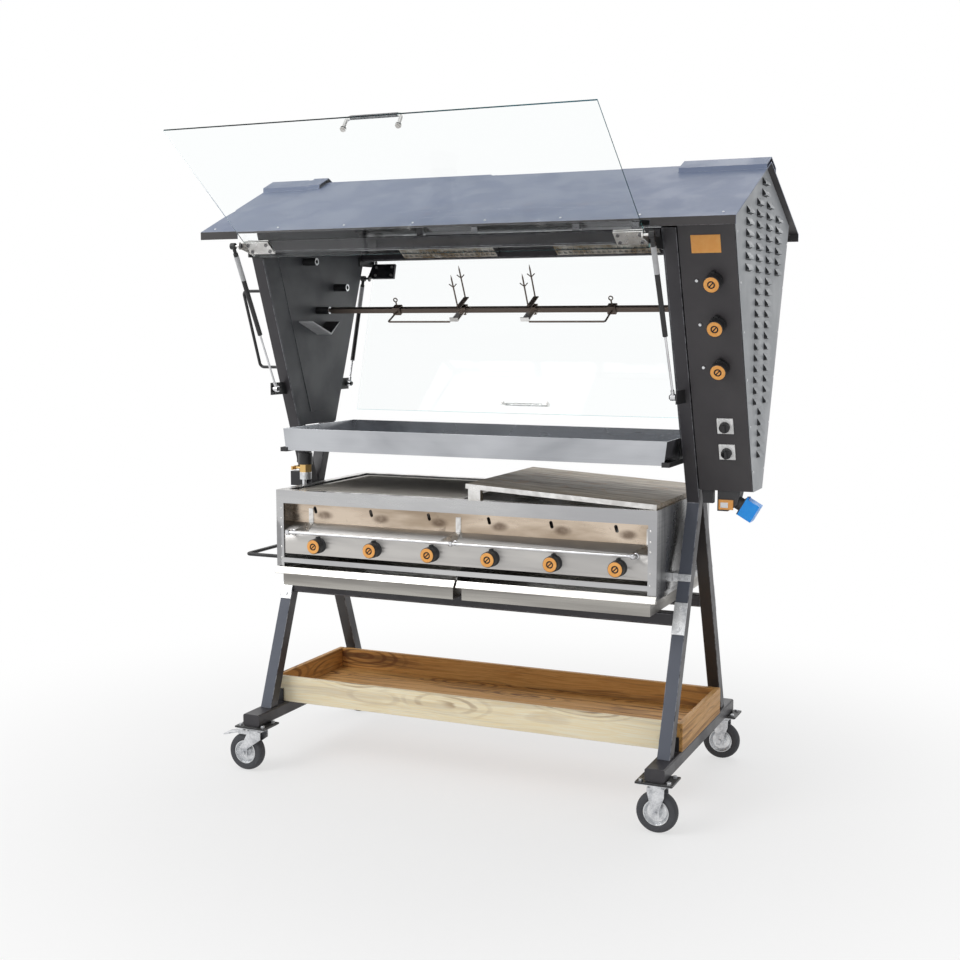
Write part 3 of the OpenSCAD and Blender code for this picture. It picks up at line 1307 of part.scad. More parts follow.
module rear_glass() mirror([0, 1, 0]) door_place(closed_angle) pane();
module rear_fittings() mirror([0, 1, 0]) door_place(closed_angle) fittings();

// Gas struts, drawn up from their lower pivot and leant to where the door holds their top
eye_d = 20;
fitting_len = 24;
fitting_d = 11;
rod_in = 30;
function strut_point(angle) = [strut_arm * cos(angle + strut_arm_angle) - hinge_y,
                               strut_arm * sin(angle + strut_arm_angle) + hinge_z];
function strut_vector(angle) = strut_point(angle) - [-strut_y, strut_z];
function strut_run(angle) = norm(strut_vector(angle));
function strut_lean(angle) = atan2(-strut_vector(angle).x, strut_vector(angle).y);
strut_rod_len = strut_run(open_angle) - fitting_len - cylinder_len + rod_in;
strut_stroke = strut_run(open_angle) - strut_run(closed_angle);
barrel_bore_len = rod_in + strut_stroke + head_t;
module strut_place(angle) translate([0, -strut_y, strut_z]) rotate([strut_lean(angle), 0, 0]) children();
module strut_eye() difference() {
  pin_x(strut_x - cylinder_d / 2, strut_x + cylinder_d / 2, 0, 0, eye_d);
  pin_x(strut_x - cylinder_d, strut_x + cylinder_d, 0, 0, stud_d + 2 * pin_play);
}
module rods(angle) color("silver") two_x() strut_place(angle) {
  strut_eye();
  translate([strut_x, 0, eye_d / 2 - sheet / 2]) cylinder(d = fitting_d, h = fitting_len - eye_d / 2);
  translate([strut_x, 0, eye_d / 2 - sheet / 2]) cylinder(d = strut_rod_d, h = strut_rod_len - eye_d / 2);
}
module cylinders(angle) color("dimgray") two_x() strut_place(angle) translate([0, 0, strut_run(angle)]) {
  strut_eye();
  translate([strut_x, 0, -fitting_len]) cylinder(d = fitting_d, h = fitting_len - eye_d / 2 + sheet / 2);
  translate([strut_x, 0, -fitting_len - cylinder_len]) difference() {
    cylinder(d = cylinder_d, h = cylinder_len);
    translate([0, 0, -overrun]) cylinder(d = strut_rod_d + 2 * pin_play, h = barrel_bore_len + overrun);
  }
}
module front_rods() rods(open_angle);
module front_cylinders() cylinders(open_angle);
module rear_rods() mirror([0, 1, 0]) rods(closed_angle);
module rear_cylinders() mirror([0, 1, 0]) cylinders(closed_angle);

module caster_place(sx, sy) translate([sx * leg_x, sy * caster_y, 0]) children();
module wheel_place(sx, sy)
  translate([sx > 0 ? leg_x : -leg_x - caster_trail, sy * caster_y, wheel_r]) children();
module burner_knob(i) on_fascia(i) translate([0, 0, bezel_h + gap]) dial_knob();
module hood_knob(i) on_panel(hood_knob_x, hood_knob_z + i * hood_knob_pitch)
  translate([0, 0, bezel_h + gap]) dial_knob();
module cam_switch(i) on_panel(hood_knob_x, switch_z + i * switch_pitch)
  translate([0, 0, switch_t + gap]) switch_knob();

seat() base_beams();
seat() front_legs();
seat() rear_legs();
seat() cross_rails();
seat() frame_clamps();
seat() wood_tray();
seat() caster_plates();
seat() roof();
seat() side_panels();
seat() louvre_panel();
seat() control_panel();
seat() panel_fittings();
seat() inlet_housing();
seat() push_handles();
seat() post_brackets();
seat() spit_rests();
seat() drive_motors();
seat() radiant_burners();
seat() firebox();
seat() slot_shield();
seat() fascia();
seat() front_bar();
seat() burner_set();
seat() gas_regulator();
seat() valve_lever();
seat() mesh_grate();
seat() griddle_plate();
seat() left_drawer();
seat() right_drawer();
seat() drip_tray();
seat() spit_bar();
seat() spit_forks();
seat() front_glass();
seat() front_fittings();
seat() rear_glass();
seat() rear_fittings();
seat() front_cylinders();
seat() front_rods();
seat() rear_cylinders();
seat() rear_rods();
seat() inlet_cap();
seat() burner_knob(0);  // burner_knob_1
seat() burner_knob(1);  // burner_knob_2
seat() burner_knob(2);  // burner_knob_3
seat() burner_knob(3);  // burner_knob_4
seat() burner_knob(4);  // burner_knob_5
seat() burner_knob(5);  // burner_knob_6
seat() hood_knob(0);  // hood_knob_1
seat() hood_knob(1);  // hood_knob_2
seat() hood_knob(2);  // hood_knob_3
seat() cam_switch(0);  // switch_knob_1
seat() cam_switch(1);  // switch_knob_2
seat() wheel_place(1, -1) wheel();  // right_front_wheel
seat() wheel_place(1, 1) wheel();  // right_rear_wheel
seat() wheel_place(-1, -1) wheel();  // left_front_wheel
seat() wheel_place(-1, 1) wheel();  // left_rear_wheel
seat() caster_place(-1, -1) swivel_fork();  // left_front_fork
seat() caster_place(-1, 1) swivel_fork();  // left_rear_fork
seat() caster_place(-1, -1) brake();  // left_front_brake
seat() caster_place(-1, 1) brake();  // left_rear_brake
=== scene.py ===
"""Looks of a gas grill cart with a rotisserie hood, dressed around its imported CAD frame.

Sizes are millimetres in the drawing frame of the part's source: the middle of the wheelbase, the floor
at zero, X to the right, Y to the back and Z up. A Site turns them into metres in the row frame.
"""

import json
import logging
import math
import random
from dataclasses import dataclass
from enum import Enum
from typing import Callable, Iterable, Sequence

import bmesh
import bpy
from mathutils import Matrix, Vector


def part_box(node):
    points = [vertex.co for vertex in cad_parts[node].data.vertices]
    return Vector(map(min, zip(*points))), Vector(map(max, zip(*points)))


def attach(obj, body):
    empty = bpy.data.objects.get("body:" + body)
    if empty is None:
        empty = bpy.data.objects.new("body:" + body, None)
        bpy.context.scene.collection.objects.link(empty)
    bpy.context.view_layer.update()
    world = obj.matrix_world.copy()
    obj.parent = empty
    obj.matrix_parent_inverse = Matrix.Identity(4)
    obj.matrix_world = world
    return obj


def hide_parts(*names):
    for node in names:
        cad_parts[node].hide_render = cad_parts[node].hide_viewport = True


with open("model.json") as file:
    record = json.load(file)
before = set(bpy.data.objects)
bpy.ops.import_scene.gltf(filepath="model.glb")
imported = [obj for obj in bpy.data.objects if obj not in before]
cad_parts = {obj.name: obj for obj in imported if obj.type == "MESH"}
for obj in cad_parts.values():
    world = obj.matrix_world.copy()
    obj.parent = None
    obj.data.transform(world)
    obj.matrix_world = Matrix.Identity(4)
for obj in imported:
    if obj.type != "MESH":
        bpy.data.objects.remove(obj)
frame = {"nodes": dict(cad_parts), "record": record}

log = logging.getLogger("grill_cart")
MM = 0.001
ROUND_STEPS = 2
ROUNDED_SHARP = 50.0
MERGE = 0.02
FLAT_ANGLE = 0.7
Point = Sequence[float]
Zone = Callable[[Vector, Vector], int]
GEOMETRY, FLOAT, VECTOR = "NodeSocketGeometry", "NodeSocketFloat", "NodeSocketVector"
Sockets = Sequence[tuple]


def linear(code: str) -> tuple[float, float, float, float]:
    """Turns a colour code as it looks on a screen into the linear colour that a shader takes.

    Args:
        code: Six hexadecimal digits after a hash sign.

    Returns:
        Red, green, blue and an opacity of one.
    """
    parts = [int(code[i : i + 2], 16) / 255 for i in (1, 3, 5)]
    low = [p / 12.92 if p <= 0.04045 else ((p + 0.055) / 1.055) ** 2.4 for p in parts]
    return (low[0], low[1], low[2], 1.0)


# Node building


def new_tree(name: str, kind: str, takes: Sockets, gives: Sockets) -> bpy.types.NodeTree:
    """Makes a node group with named inputs and outputs.

    Args:
        name: Name of the group.
        kind: Type of its tree.
        takes: Name, socket type and, where it has one, the starting value of each input.
        gives: Name and socket type of each output.

    Returns:
        The group, with no nodes in it.
    """
    made = bpy.data.node_groups.new(name, kind)
    for title, socket_type, *value in takes:
        socket = made.interface.new_socket(title, in_out="INPUT", socket_type=socket_type)
        if value:
            socket.default_value = value[0]
    for title, socket_type in gives:
        made.interface.new_socket(title, in_out="OUTPUT", socket_type=socket_type)
    return made


class Graph:
    """A node tree being wired, with short calls for what the finishes share."""

    def __init__(self, tree: bpy.types.NodeTree) -> None:
        """Starts on a node tree."""
        self.tree = tree

    def add(self, kind: str, plugs: dict | None = None, **settings: object) -> bpy.types.Node:
        """Adds a node.

        Args:
            kind: The node's type.
            plugs: Values or sockets for its inputs, by name or place.
            settings: Properties of the node.

        Returns:
            The new node.
        """
        node = self.tree.nodes.new(kind)
        for key, value in settings.items():
            setattr(node, key, value)
        self.plug(node, plugs or {})
        return node

    def plug(self, node: bpy.types.Node, plugs: dict) -> None:
        """Sets or links inputs of a node.

        Args:
            node: The node.
            plugs: Values or sockets, by name or place of the input.
        """
        for key, value in plugs.items():
            if isinstance(value, bpy.types.NodeSocket):
                self.tree.links.new(value, node.inputs[key])
            else:
                node.inputs[key].default_value = value

    def math(self, operation: str, *values: object) -> bpy.types.NodeSocket:
        """Returns the result of a Math node on one to three values."""
        return self.add("ShaderNodeMath", dict(enumerate(values)), operation=operation).outputs[0]

    def vector(self, operation: str, *values: object) -> bpy.types.Node:
        """Returns a Vector Math node on one or two values."""
        return self.add("ShaderNodeVectorMath", dict(enumerate(values)), operation=operation)

    def stretch(self, vector: object, scale: Point, turn: Point = (0, 0, 0)) -> bpy.types.NodeSocket:
        """Returns a vector turned and stretched by a Mapping node."""
        plugs = {"Vector": vector, "Scale": tuple(scale), "Rotation": tuple(turn)}
        return self.add("ShaderNodeMapping", plugs).outputs[0]

    def noise(self, vector: object, scale: float, detail: float = 3.0, rough: float = 0.5,
              warp: float = 0.0) -> bpy.types.NodeSocket:
        """Returns the value of a Noise Texture."""
        plugs = {"Vector": vector, "Scale": scale, "Detail": detail, "Roughness": rough, "Distortion": warp}
        return self.add("ShaderNodeTexNoise", plugs).outputs[0]

    def between(self, value: object, low: float, high: float, to_low: float = 0.0,
                to_high: float = 1.0) -> bpy.types.NodeSocket:
        """Returns a value carried smoothly from one range into another."""
        plugs = {"Value": value, "From Min": low, "From Max": high, "To Min": to_low, "To Max": to_high}
        return self.add("ShaderNodeMapRange", plugs, interpolation_type="SMOOTHSTEP").outputs[0]

    def mix(self, factor: object, low: object, high: object) -> bpy.types.NodeSocket:
        """Returns a colour between two colours."""
        plugs = {0: factor, 6: low, 7: high}
        return self.add("ShaderNodeMix", plugs, data_type="RGBA").outputs[2]

    def bump(self, height: object, strength: float, distance: float) -> bpy.types.NodeSocket:
        """Returns a normal bent by a height."""
        plugs = {"Height": height, "Strength": strength, "Distance": distance}
        return self.add("ShaderNodeBump", plugs).outputs[0]

    def place(self) -> bpy.types.NodeSocket:
        """Returns the place on the piece in metres."""
        return self.add("ShaderNodeTexCoord").outputs["Object"]

    def normal(self) -> bpy.types.NodeSocket:
        """Returns the surface's own normal."""
        return self.add("ShaderNodeTexCoord").outputs["Normal"]

    def part(self, vector: object, axis: int) -> bpy.types.NodeSocket:
        """Returns one part of a vector."""
        return self.add("ShaderNodeSeparateXYZ", {0: vector}).outputs[axis]

    def shared(self, effect: "Effect", **plugs: object) -> bpy.types.Node:
        """Places a shared effect with its own values."""
        return self.add("ShaderNodeGroup", {k.replace("_", " "): v for k, v in plugs.items()},
                        node_tree=effect.tree())


@dataclass(frozen=True)
class Effect:
    """A shader node group that several finishes use.

    Attributes:
        name: Name of the group.
        takes: Name, socket type and, where it has one, the starting value of each input.
        gives: Name and socket type of each output.
        wire: Builds the group from its graph, its input node and its output node.
    """

    name: str
    takes: Sockets
    gives: Sockets
    wire: Callable[[Graph, bpy.types.Node, bpy.types.Node], None]

    def tree(self) -> bpy.types.NodeTree:
        """Returns the group, built the first time it is asked for.

        Returns:
            The group.
        """
        made = bpy.data.node_groups.get(self.name)
        if made is None:
            made = new_tree(self.name, "ShaderNodeTree", self.takes, self.gives)
            graph = Graph(made)
            self.wire(graph, graph.add("NodeGroupInput"), graph.add("NodeGroupOutput"))
        return made


def wire_blotches(g: Graph, takes: bpy.types.Node, gives: bpy.types.Node) -> None:
    """Soft irregular patches, from zero to one.

    Args:
        g: Graph of the group.
        takes: Its input node.
        gives: Its output node.
    """
    place = g.vector("MULTIPLY", takes.outputs["Place"], takes.outputs["Stretch"]).outputs[0]
    cloud = g.noise(place, 1.0, 4.0, 0.55, 0.3)
    g.plug(gives, {"Mask": g.between(cloud, 0.32, 0.68)})


def wire_brushing(g: Graph, takes: bpy.types.Node, gives: bpy.types.Node) -> None:
    """Fine lines of a brushed sheet, as a value about one half and as a height.

    Args:
        g: Graph of the group.
        takes: Its input node.
        gives: Its output node.
    """
    place = g.vector("MULTIPLY", takes.outputs["Place"], takes.outputs["Stretch"]).outputs[0]
    fine = g.noise(place, 1.0, 2.0, 0.6)
    coarse = g.noise(place, 0.31, 2.0, 0.5)
    both = g.math("MULTIPLY_ADD", coarse, 0.5, g.math("MULTIPLY", fine, 0.5))
    g.plug(gives, {"Lines": both, "Height": fine})


def wire_skin(g: Graph, takes: bpy.types.Node, gives: bpy.types.Node) -> None:
    """The fine uneven skin of powder coat or moulded plastic, as a height.

    Args:
        g: Graph of the group.
        takes: Its input node.
        gives: Its output node.
    """
    large = g.noise(takes.outputs["Place"], takes.outputs["Grains"], 2.0, 0.6)
    g.plug(gives, {"Height": large})


def wire_dust(g: Graph, takes: bpy.types.Node, gives: bpy.types.Node) -> None:
    """Dust that settles on what faces up, as a mask.

    Args:
        g: Graph of the group.
        takes: Its input node.
        gives: Its output node.
    """
    upward = g.between(g.part(takes.outputs["Facing"], 2), 0.3, 1.0)
    cloud = g.between(g.noise(takes.outputs["Place"], 9.0, 5.0, 0.65), 0.35, 0.75)
    g.plug(gives, {"Mask": g.math("MULTIPLY", g.math("MULTIPLY", upward, cloud), takes.outputs["Amount"])})


def wire_wear_and_highlight(g: Graph, takes: bpy.types.Node, gives: bpy.types.Node) -> None:
    """Rubbed rims that also carry a painted highlight, as a mask. The rounded faces carry one in the "rim"
    attribute.

    Args:
        g: Graph of the group.
        takes: Its input node.
        gives: Its output node.
    """
    sharp = g.add("ShaderNodeAttribute", attribute_name="rim").outputs["Fac"]
    cloud = g.between(g.noise(takes.outputs["Place"], 40.0, 4.0, 0.7), 0.35, 0.6)
    g.plug(gives, {"Mask": g.math("MULTIPLY", g.math("MULTIPLY", sharp, cloud), takes.outputs["Amount"])})


BLOTCHES = Effect("blotches", (("Place", VECTOR), ("Stretch", VECTOR, (10.0, 10.0, 10.0))),
                  (("Mask", FLOAT),), wire_blotches)
BRUSHING = Effect("brushing", (("Place", VECTOR), ("Stretch", VECTOR, (4.0, 900.0, 900.0))),
                  (("Lines", FLOAT), ("Height", FLOAT)), wire_brushing)
SKIN = Effect("coat_skin", (("Place", VECTOR), ("Grains", FLOAT, 900.0)),
              (("Height", FLOAT),), wire_skin)
DUST = Effect("settled_dust", (("Place", VECTOR), ("Facing", VECTOR), ("Amount", FLOAT, 0.3)),
              (("Mask", FLOAT),), wire_dust)
WEAR_AND_HIGHLIGHT = Effect("edge_wear", (("Place", VECTOR), ("Amount", FLOAT, 0.5)),
              (("Mask", FLOAT),), wire_wear_and_highlight)


# Finishes


@dataclass(frozen=True)
class Finish:
    """A finish with a name, from which a material is made once."""

    name: str

    def material(self) -> bpy.types.Material:
        """Returns the material of this finish.

        Returns:
            The material, made the first time it is asked for.
        """
        made = bpy.data.materials.get(self.name)
        if made is None:
            made = bpy.data.materials.new(self.name)
            made.use_nodes = True
            made.node_tree.nodes.clear()
            graph = Graph(made.node_tree)
            shader = graph.add("ShaderNodeBsdfPrincipled")
            graph.add("ShaderNodeOutputMaterial", {"Surface": shader.outputs[0]})
            self.dress(graph, shader)
        return made

    def dress(self, g: Graph, shader: bpy.types.Node) -> None:
        """Wires the shader. Each kind of finish has its own way.

        Args:
            g: Graph of the material.
            shader: Its shader node.
        """
        raise NotImplementedError


@dataclass(frozen=True)
class PowderCoat(Finish):
    """Powder coated or coil coated steel.

    Attributes:
        colour: The coat's colour.
        deep: Its colour where it is deeper.
        rough: Roughness of the coat.
        dust: Amount of dust on what faces up.
        wear_and_highlight: Amount of rubbing along the edges, with a painted highlight.
        painted_front_light: Colour painted on the faces that look to the front, as light falling on them, if
            it differs.
    """

    colour: str = "#808080"
    deep: str = "#707070"
    rough: float = 0.45
    dust: float = 0.15
    wear_and_highlight: float = 0.35
    painted_front_light: str = ""

    def dress(self, g: Graph, shader: bpy.types.Node) -> None:
        """Mottled colour, an uneven skin, a little dust, rubbed rims with a painted highlight, and painted
        front light where given.

        Args:
            g: Graph of the material.
            shader: Its shader node.
        """
        place = g.place()
        patches = g.shared(BLOTCHES, Place=place, Stretch=(7.0, 7.0, 7.0)).outputs[0]
        colour = g.mix(patches, linear(self.deep), linear(self.colour))
        # Faces that look to the front get a lighter colour, painted in as light falling on them.
        if self.painted_front_light:
            front = g.between(g.math("MULTIPLY", g.part(g.normal(), 1), -1.0), 0.6, 0.9)
            colour = g.mix(front, colour, linear(self.painted_front_light))
        dust = g.shared(DUST, Place=place, Facing=g.normal(), Amount=self.dust).outputs[0]
        colour = g.mix(dust, colour, linear("#b3afa6"))
        # Pale rims: rubbed edges and a painted highlight along them.
        wear_and_highlight = g.shared(WEAR_AND_HIGHLIGHT, Place=place, Amount=self.wear_and_highlight).outputs[0]
        colour = g.mix(wear_and_highlight, colour, linear("#b8bac0"))
        skin = g.shared(SKIN, Place=place, Grains=1100.0).outputs[0]
        g.plug(shader, {"Base Color": colour, "Normal": g.bump(skin, 0.12, 0.0004),
                        "Roughness": g.between(patches, 0.0, 1.0, self.rough + 0.07, self.rough - 0.05)})


@dataclass(frozen=True)
class BrushedSteel(Finish):
    """Stainless or plated steel with brush lines, and bright and dark patches painted as soft reflections of
    its surroundings.

    Attributes:
        light: Colour of its bright parts.
        dark: Colour of its dark parts.
        stain: Colour of heat or fat stains.
        stained: Share of stain.
        rough: Roughness.
        lines: Stretch of the brush lines along X, Y and Z.
        clouds: Stretch of the soft bright and dark patches.
        contrast: Strength of the brush lines.
        metal: How metallic it is. Scorched and rough steel is less so.
    """

    light: str = "#d6d5d2"
    dark: str = "#a9a8a6"
    stain: str = "#8d7a63"
    stained: float = 0.0
    rough: float = 0.3
    lines: tuple[float, float, float] = (3.0, 700.0, 700.0)
    clouds: tuple[float, float, float] = (3.0, 5.0, 7.0)
    contrast: float = 0.5
    metal: float = 1.0

    def dress(self, g: Graph, shader: bpy.types.Node) -> None:
        """Bright and dark patches under brush lines, and stains on top.

        Args:
            g: Graph of the material.
            shader: Its shader node.
        """
        place = g.place()
        patches = g.shared(BLOTCHES, Place=place, Stretch=self.clouds).outputs[0]
        brushed = g.shared(BRUSHING, Place=place, Stretch=self.lines)
        # Bright and dark patches, painted as soft reflections, under the brush lines.
        tone = g.math("ADD", g.math("MULTIPLY", patches, 1.0 - self.contrast),
                      g.math("MULTIPLY", g.between(brushed.outputs[0], 0.3, 0.7), self.contrast))
        colour = g.mix(tone, linear(self.dark), linear(self.light))
        metal = self.metal
        if self.stained:
            cloud = g.noise(place, 14.0, 8.0, 0.7, 1.0)
            stain = g.between(cloud, 0.62 - self.stained * 0.3, 0.72 - self.stained * 0.2)
            stain = g.math("MULTIPLY", stain, min(1.0, 0.4 + self.stained))
            colour = g.mix(stain, colour, linear(self.stain))
            metal = g.between(stain, 0.0, 1.0, self.metal, self.metal * 0.4)
        g.plug(shader, {"Base Color": colour, "Metallic": metal,
                        "Roughness": g.between(tone, 0.0, 1.0, self.rough + 0.12, self.rough - 0.06),
                        "Normal": g.bump(brushed.outputs[1], 0.06, 0.0003)})


@dataclass(frozen=True)
class HeatTinted(BrushedSteel):
    """Steel that the flames have tinted, with a soft smudge beside every slot of the shield.

    Attributes:
        half_width: Half the width of a smudge, in millimetres.
        half_height: Half its height.
    """

    half_width: float = 34
    half_height: float = 17

    def dress(self, g: Graph, shader: bpy.types.Node) -> None:
        """A smudge to the lower right of each slot over the brushed sheet.

        Args:
            g: Graph of the material.
            shader: Its shader node.
        """
        BrushedSteel.dress(self, g, shader)
        base = shader.inputs["Base Color"].links[0].from_socket
        place = g.place()
        first = SITE.into_row() @ Vector((Firebox.slot_first + Firebox.smudge_right, 0, Firebox.smudge_z))
        step = Firebox.slot_pitch * MM
        past = g.math("MULTIPLY", g.math("SUBTRACT", g.part(place, 0), first.x), 1.0 / step)
        along = g.math("FRACT", g.math("ADD", past, 0.5))
        across = g.math("MULTIPLY", g.math("ABSOLUTE", g.math("SUBTRACT", along, 0.5)),
                        step / (self.half_width * MM))
        high = g.math("ABSOLUTE", g.math("SUBTRACT", g.part(place, 2), first.z))
        up = g.math("MULTIPLY", high, 1.0 / (self.half_height * MM))
        far = g.math("POWER", g.math("ADD", g.math("POWER", across, 2.0), g.math("POWER", up, 2.0)), 0.5)
        smudge = g.math("MULTIPLY", g.between(far, 0.35, 1.15, 1.0, 0.0),
                        g.between(g.noise(place, 26.0, 3.0, 0.6), 0.3, 0.6, 0.45, 0.85))
        g.plug(shader, {"Base Color": g.mix(smudge, base, linear(self.stain))})


@dataclass(frozen=True)
class ZincPlate(Finish):
    """Bright galvanised steel with faint crystals.

    Attributes:
        light: Colour of the bright crystals.
        dark: Colour of the dull ones.
        crystals: Crystals per metre.
        rough: Roughness.
    """

    light: str = "#dcdddf"
    dark: str = "#a4a6aa"
    crystals: float = 160.0
    rough: float = 0.3

    def dress(self, g: Graph, shader: bpy.types.Node) -> None:
        """Crystals of different tone with dull patches between.

        Args:
            g: Graph of the material.
            shader: Its shader node.
        """
        place = g.place()
        cells = g.add("ShaderNodeTexVoronoi", {"Vector": place, "Scale": self.crystals}).outputs["Color"]
        tone = g.add("ShaderNodeSeparateColor", {0: cells}).outputs[0]
        patches = g.shared(BLOTCHES, Place=place, Stretch=(30.0, 30.0, 30.0)).outputs[0]
        both = g.math("MULTIPLY_ADD", tone, 0.35, g.math("MULTIPLY", patches, 0.65))
        skin = g.shared(SKIN, Place=place, Grains=700.0).outputs[0]
        g.plug(shader, {"Base Color": g.mix(both, linear(self.dark), linear(self.light)), "Metallic": 1.0,
                        "Roughness": g.between(both, 0.0, 1.0, self.rough + 0.15, self.rough - 0.05),
                        "Normal": g.bump(skin, 0.1, 0.0003)})


@dataclass(frozen=True)
class Moulded(Finish):
    """Moulded plastic or rubber.

    Attributes:
        colour: Its colour.
        worn: Its colour where it is scuffed.
        rough: Roughness.
        grains: Grains of its skin per metre.
        depth: Strength of the skin.
    """

    colour: str = "#202022"
    worn: str = "#3a3a3c"
    rough: float = 0.4
    grains: float = 1500.0
    depth: float = 0.15

    def dress(self, g: Graph, shader: bpy.types.Node) -> None:
        """Scuffed patches over a grained skin, with rubbed edges that also carry a painted highlight.

        Args:
            g: Graph of the material.
            shader: Its shader node.
        """
        place = g.place()
        patches = g.shared(BLOTCHES, Place=place, Stretch=(45.0, 45.0, 45.0)).outputs[0]
        # Pale rims, rubbed and painted as a highlight, join the scuffs.
        wear_and_highlight = g.shared(WEAR_AND_HIGHLIGHT, Place=place, Amount=0.6).outputs[0]
        scuffs = g.math("MAXIMUM", g.math("MULTIPLY", patches, 0.5), wear_and_highlight)
        skin = g.shared(SKIN, Place=place, Grains=self.grains).outputs[0]
        g.plug(shader, {"Base Color": g.mix(scuffs, linear(self.colour), linear(self.worn)),
                        "Roughness": g.between(patches, 0.0, 1.0, self.rough, self.rough + 0.12),
                        "Normal": g.bump(skin, self.depth, 0.0003)})


@dataclass(frozen=True)
class Glass(Finish):
    """Clear tempered glass with green edges.

    Attributes:
        clear: Tint of its faces.
        edge: Tint of its ground edges.
        turn: Angle of the pane about X, in degrees, which says which faces are edges.
    """

    clear: str = "#fcfefe"
    edge: str = "#2f8f93"
    turn: float = 0.0

    def dress(self, g: Graph, shader: bpy.types.Node) -> None:
        """Clear faces with faint smears and tinted ground edges.

        Args:
            g: Graph of the material.
            shader: Its shader node.
        """
        place = g.place()
        turn = math.radians(self.turn)
        level = g.vector("DOT_PRODUCT", g.normal(), (0.0, -math.sin(turn), math.cos(turn))).outputs["Value"]
        edge = g.between(g.math("ABSOLUTE", level), 0.3, 0.8, 1.0, 0.0)
        smears = g.shared(BLOTCHES, Place=place, Stretch=(4.0, 9.0, 9.0)).outputs[0]
        g.plug(shader, {"Base Color": g.mix(edge, linear(self.clear), linear(self.edge)), "IOR": 1.2,
                        "Transmission Weight": 1.0,
                        "Roughness": g.math("MULTIPLY_ADD", edge, 0.25, g.math("MULTIPLY", smears, 0.012))})


@dataclass(frozen=True)
class ScorchedPine(Finish):
    """Flamed and oiled pine, with its grain along the piece's own "grain" attribute.

    Attributes:
        pale: Colour of the early wood.
        honey: Colour of the oiled wood.
        char: Colour of the scorched grain.
        burnt: Share of scorched grain.
        ring: Colour of the rings round the knots.
        rings: How close the rings stand.
        streaks: Strength of the long streaks.
    """

    pale: str = "#e3bd86"
    honey: str = "#c58a4a"
    char: str = "#4a2a14"
    burnt: float = 0.5
    ring: str = "#8a5a2c"
    rings: float = 70.0
    streaks: float = 0.5

    def dress(self, g: Graph, shader: bpy.types.Node) -> None:
        """Fine fibre, long dark streaks, and rings bent round scorched knots.

        Args:
            g: Graph of the material.
            shader: Its shader node.
        """
        grain = g.add("ShaderNodeAttribute", attribute_name="grain").outputs["Vector"]
        sway = g.add("ShaderNodeTexNoise", {"Vector": g.stretch(grain, (2.6, 9.0, 9.0)), "Scale": 1.0,
                                            "Detail": 2.0}).outputs["Color"]
        shift = g.vector("MULTIPLY", sway, (0.03, 0.03, 0.03)).outputs[0]
        bent = g.vector("ADD", grain, shift).outputs[0]
        fibre = g.noise(g.stretch(bent, (7.0, 380.0, 380.0)), 1.0, 3.0, 0.6)
        streak = g.noise(g.stretch(bent, (1.3, 46.0, 46.0)), 1.0, 4.0, 0.6, 0.4)
        patch = g.noise(g.stretch(grain, (2.4, 12.0, 12.0)), 1.0, 3.0, 0.6)
        knots = g.add("ShaderNodeTexVoronoi", {"Vector": g.stretch(bent, (2.6, 9.0, 9.0)),
                                               "Scale": 1.0}).outputs["Distance"]
        wave = g.math("MULTIPLY_ADD", knots, self.rings, g.math("MULTIPLY", fibre, 2.2))
        rings = g.between(g.math("SINE", wave), 0.0, 0.9)
        near = g.between(knots, 0.25, 0.62, 1.0, 0.0)
        arcs = g.math("MULTIPLY", g.math("MULTIPLY", rings, near), g.between(patch, 0.36, 0.52))
        colour = g.mix(g.between(fibre, 0.3, 0.7), linear(self.honey), linear(self.pale))
        long_streaks = g.math("MULTIPLY", g.between(streak, 0.5, 0.66), self.streaks)
        colour = g.mix(long_streaks, colour, linear("#7d5028"))
        scorched = g.between(patch, 0.62 - self.burnt * 0.3, 0.72)
        burnt = g.math("MULTIPLY", g.between(streak, 0.56, 0.68), scorched)
        colour = g.mix(g.math("MULTIPLY", burnt, 0.85), colour, linear(self.char))
        colour = g.mix(g.math("MULTIPLY", arcs, 0.8), colour, linear(self.ring))
        knot = g.between(knots, 0.05, 0.11, 1.0, 0.0)
        colour = g.mix(g.math("MULTIPLY", knot, 0.8), colour, linear("#3b2110"))
        height = g.math("ADD", fibre, g.math("MULTIPLY", arcs, -0.6))
        g.plug(shader, {"Base Color": colour, "Roughness": g.between(streak, 0.3, 0.7, 0.45, 0.62),
                        "Normal": g.bump(height, 0.2, 0.0005)})


@dataclass(frozen=True)
class Plaque(Finish):
    """Scorched ceramic or cast surface with rows of fine holes.

    Attributes:
        colour: Its colour.
        hole_shade: Colour of the holes, painted dark as the shade inside them.
        holes: Holes per metre.
    """

    colour: str = "#c9b79c"
    hole_shade: str = "#2a211a"
    holes: float = 190.0

    def dress(self, g: Graph, shader: bpy.types.Node) -> None:
        """Cells with a dark middle, painted as the shade inside the holes, over a stained face.

        Args:
            g: Graph of the material.
            shader: Its shader node.
        """
        place = g.place()
        cells = g.add("ShaderNodeTexVoronoi", {"Vector": place, "Scale": self.holes,
                                               "Randomness": 0.0}).outputs["Distance"]
        # Dark cell middles: painted shade inside the holes.
        hole_shade = g.between(cells, 0.22, 0.34, 1.0, 0.0)
        stain = g.shared(BLOTCHES, Place=place, Stretch=(16.0, 16.0, 16.0)).outputs[0]
        colour = g.mix(stain, linear("#8f7c62"), linear(self.colour))
        g.plug(shader, {"Base Color": g.mix(hole_shade, colour, linear(self.hole_shade)),
                        "Roughness": g.between(stain, 0.0, 1.0, 0.75, 0.9),
                        "Normal": g.bump(cells, 0.3, 0.001)})


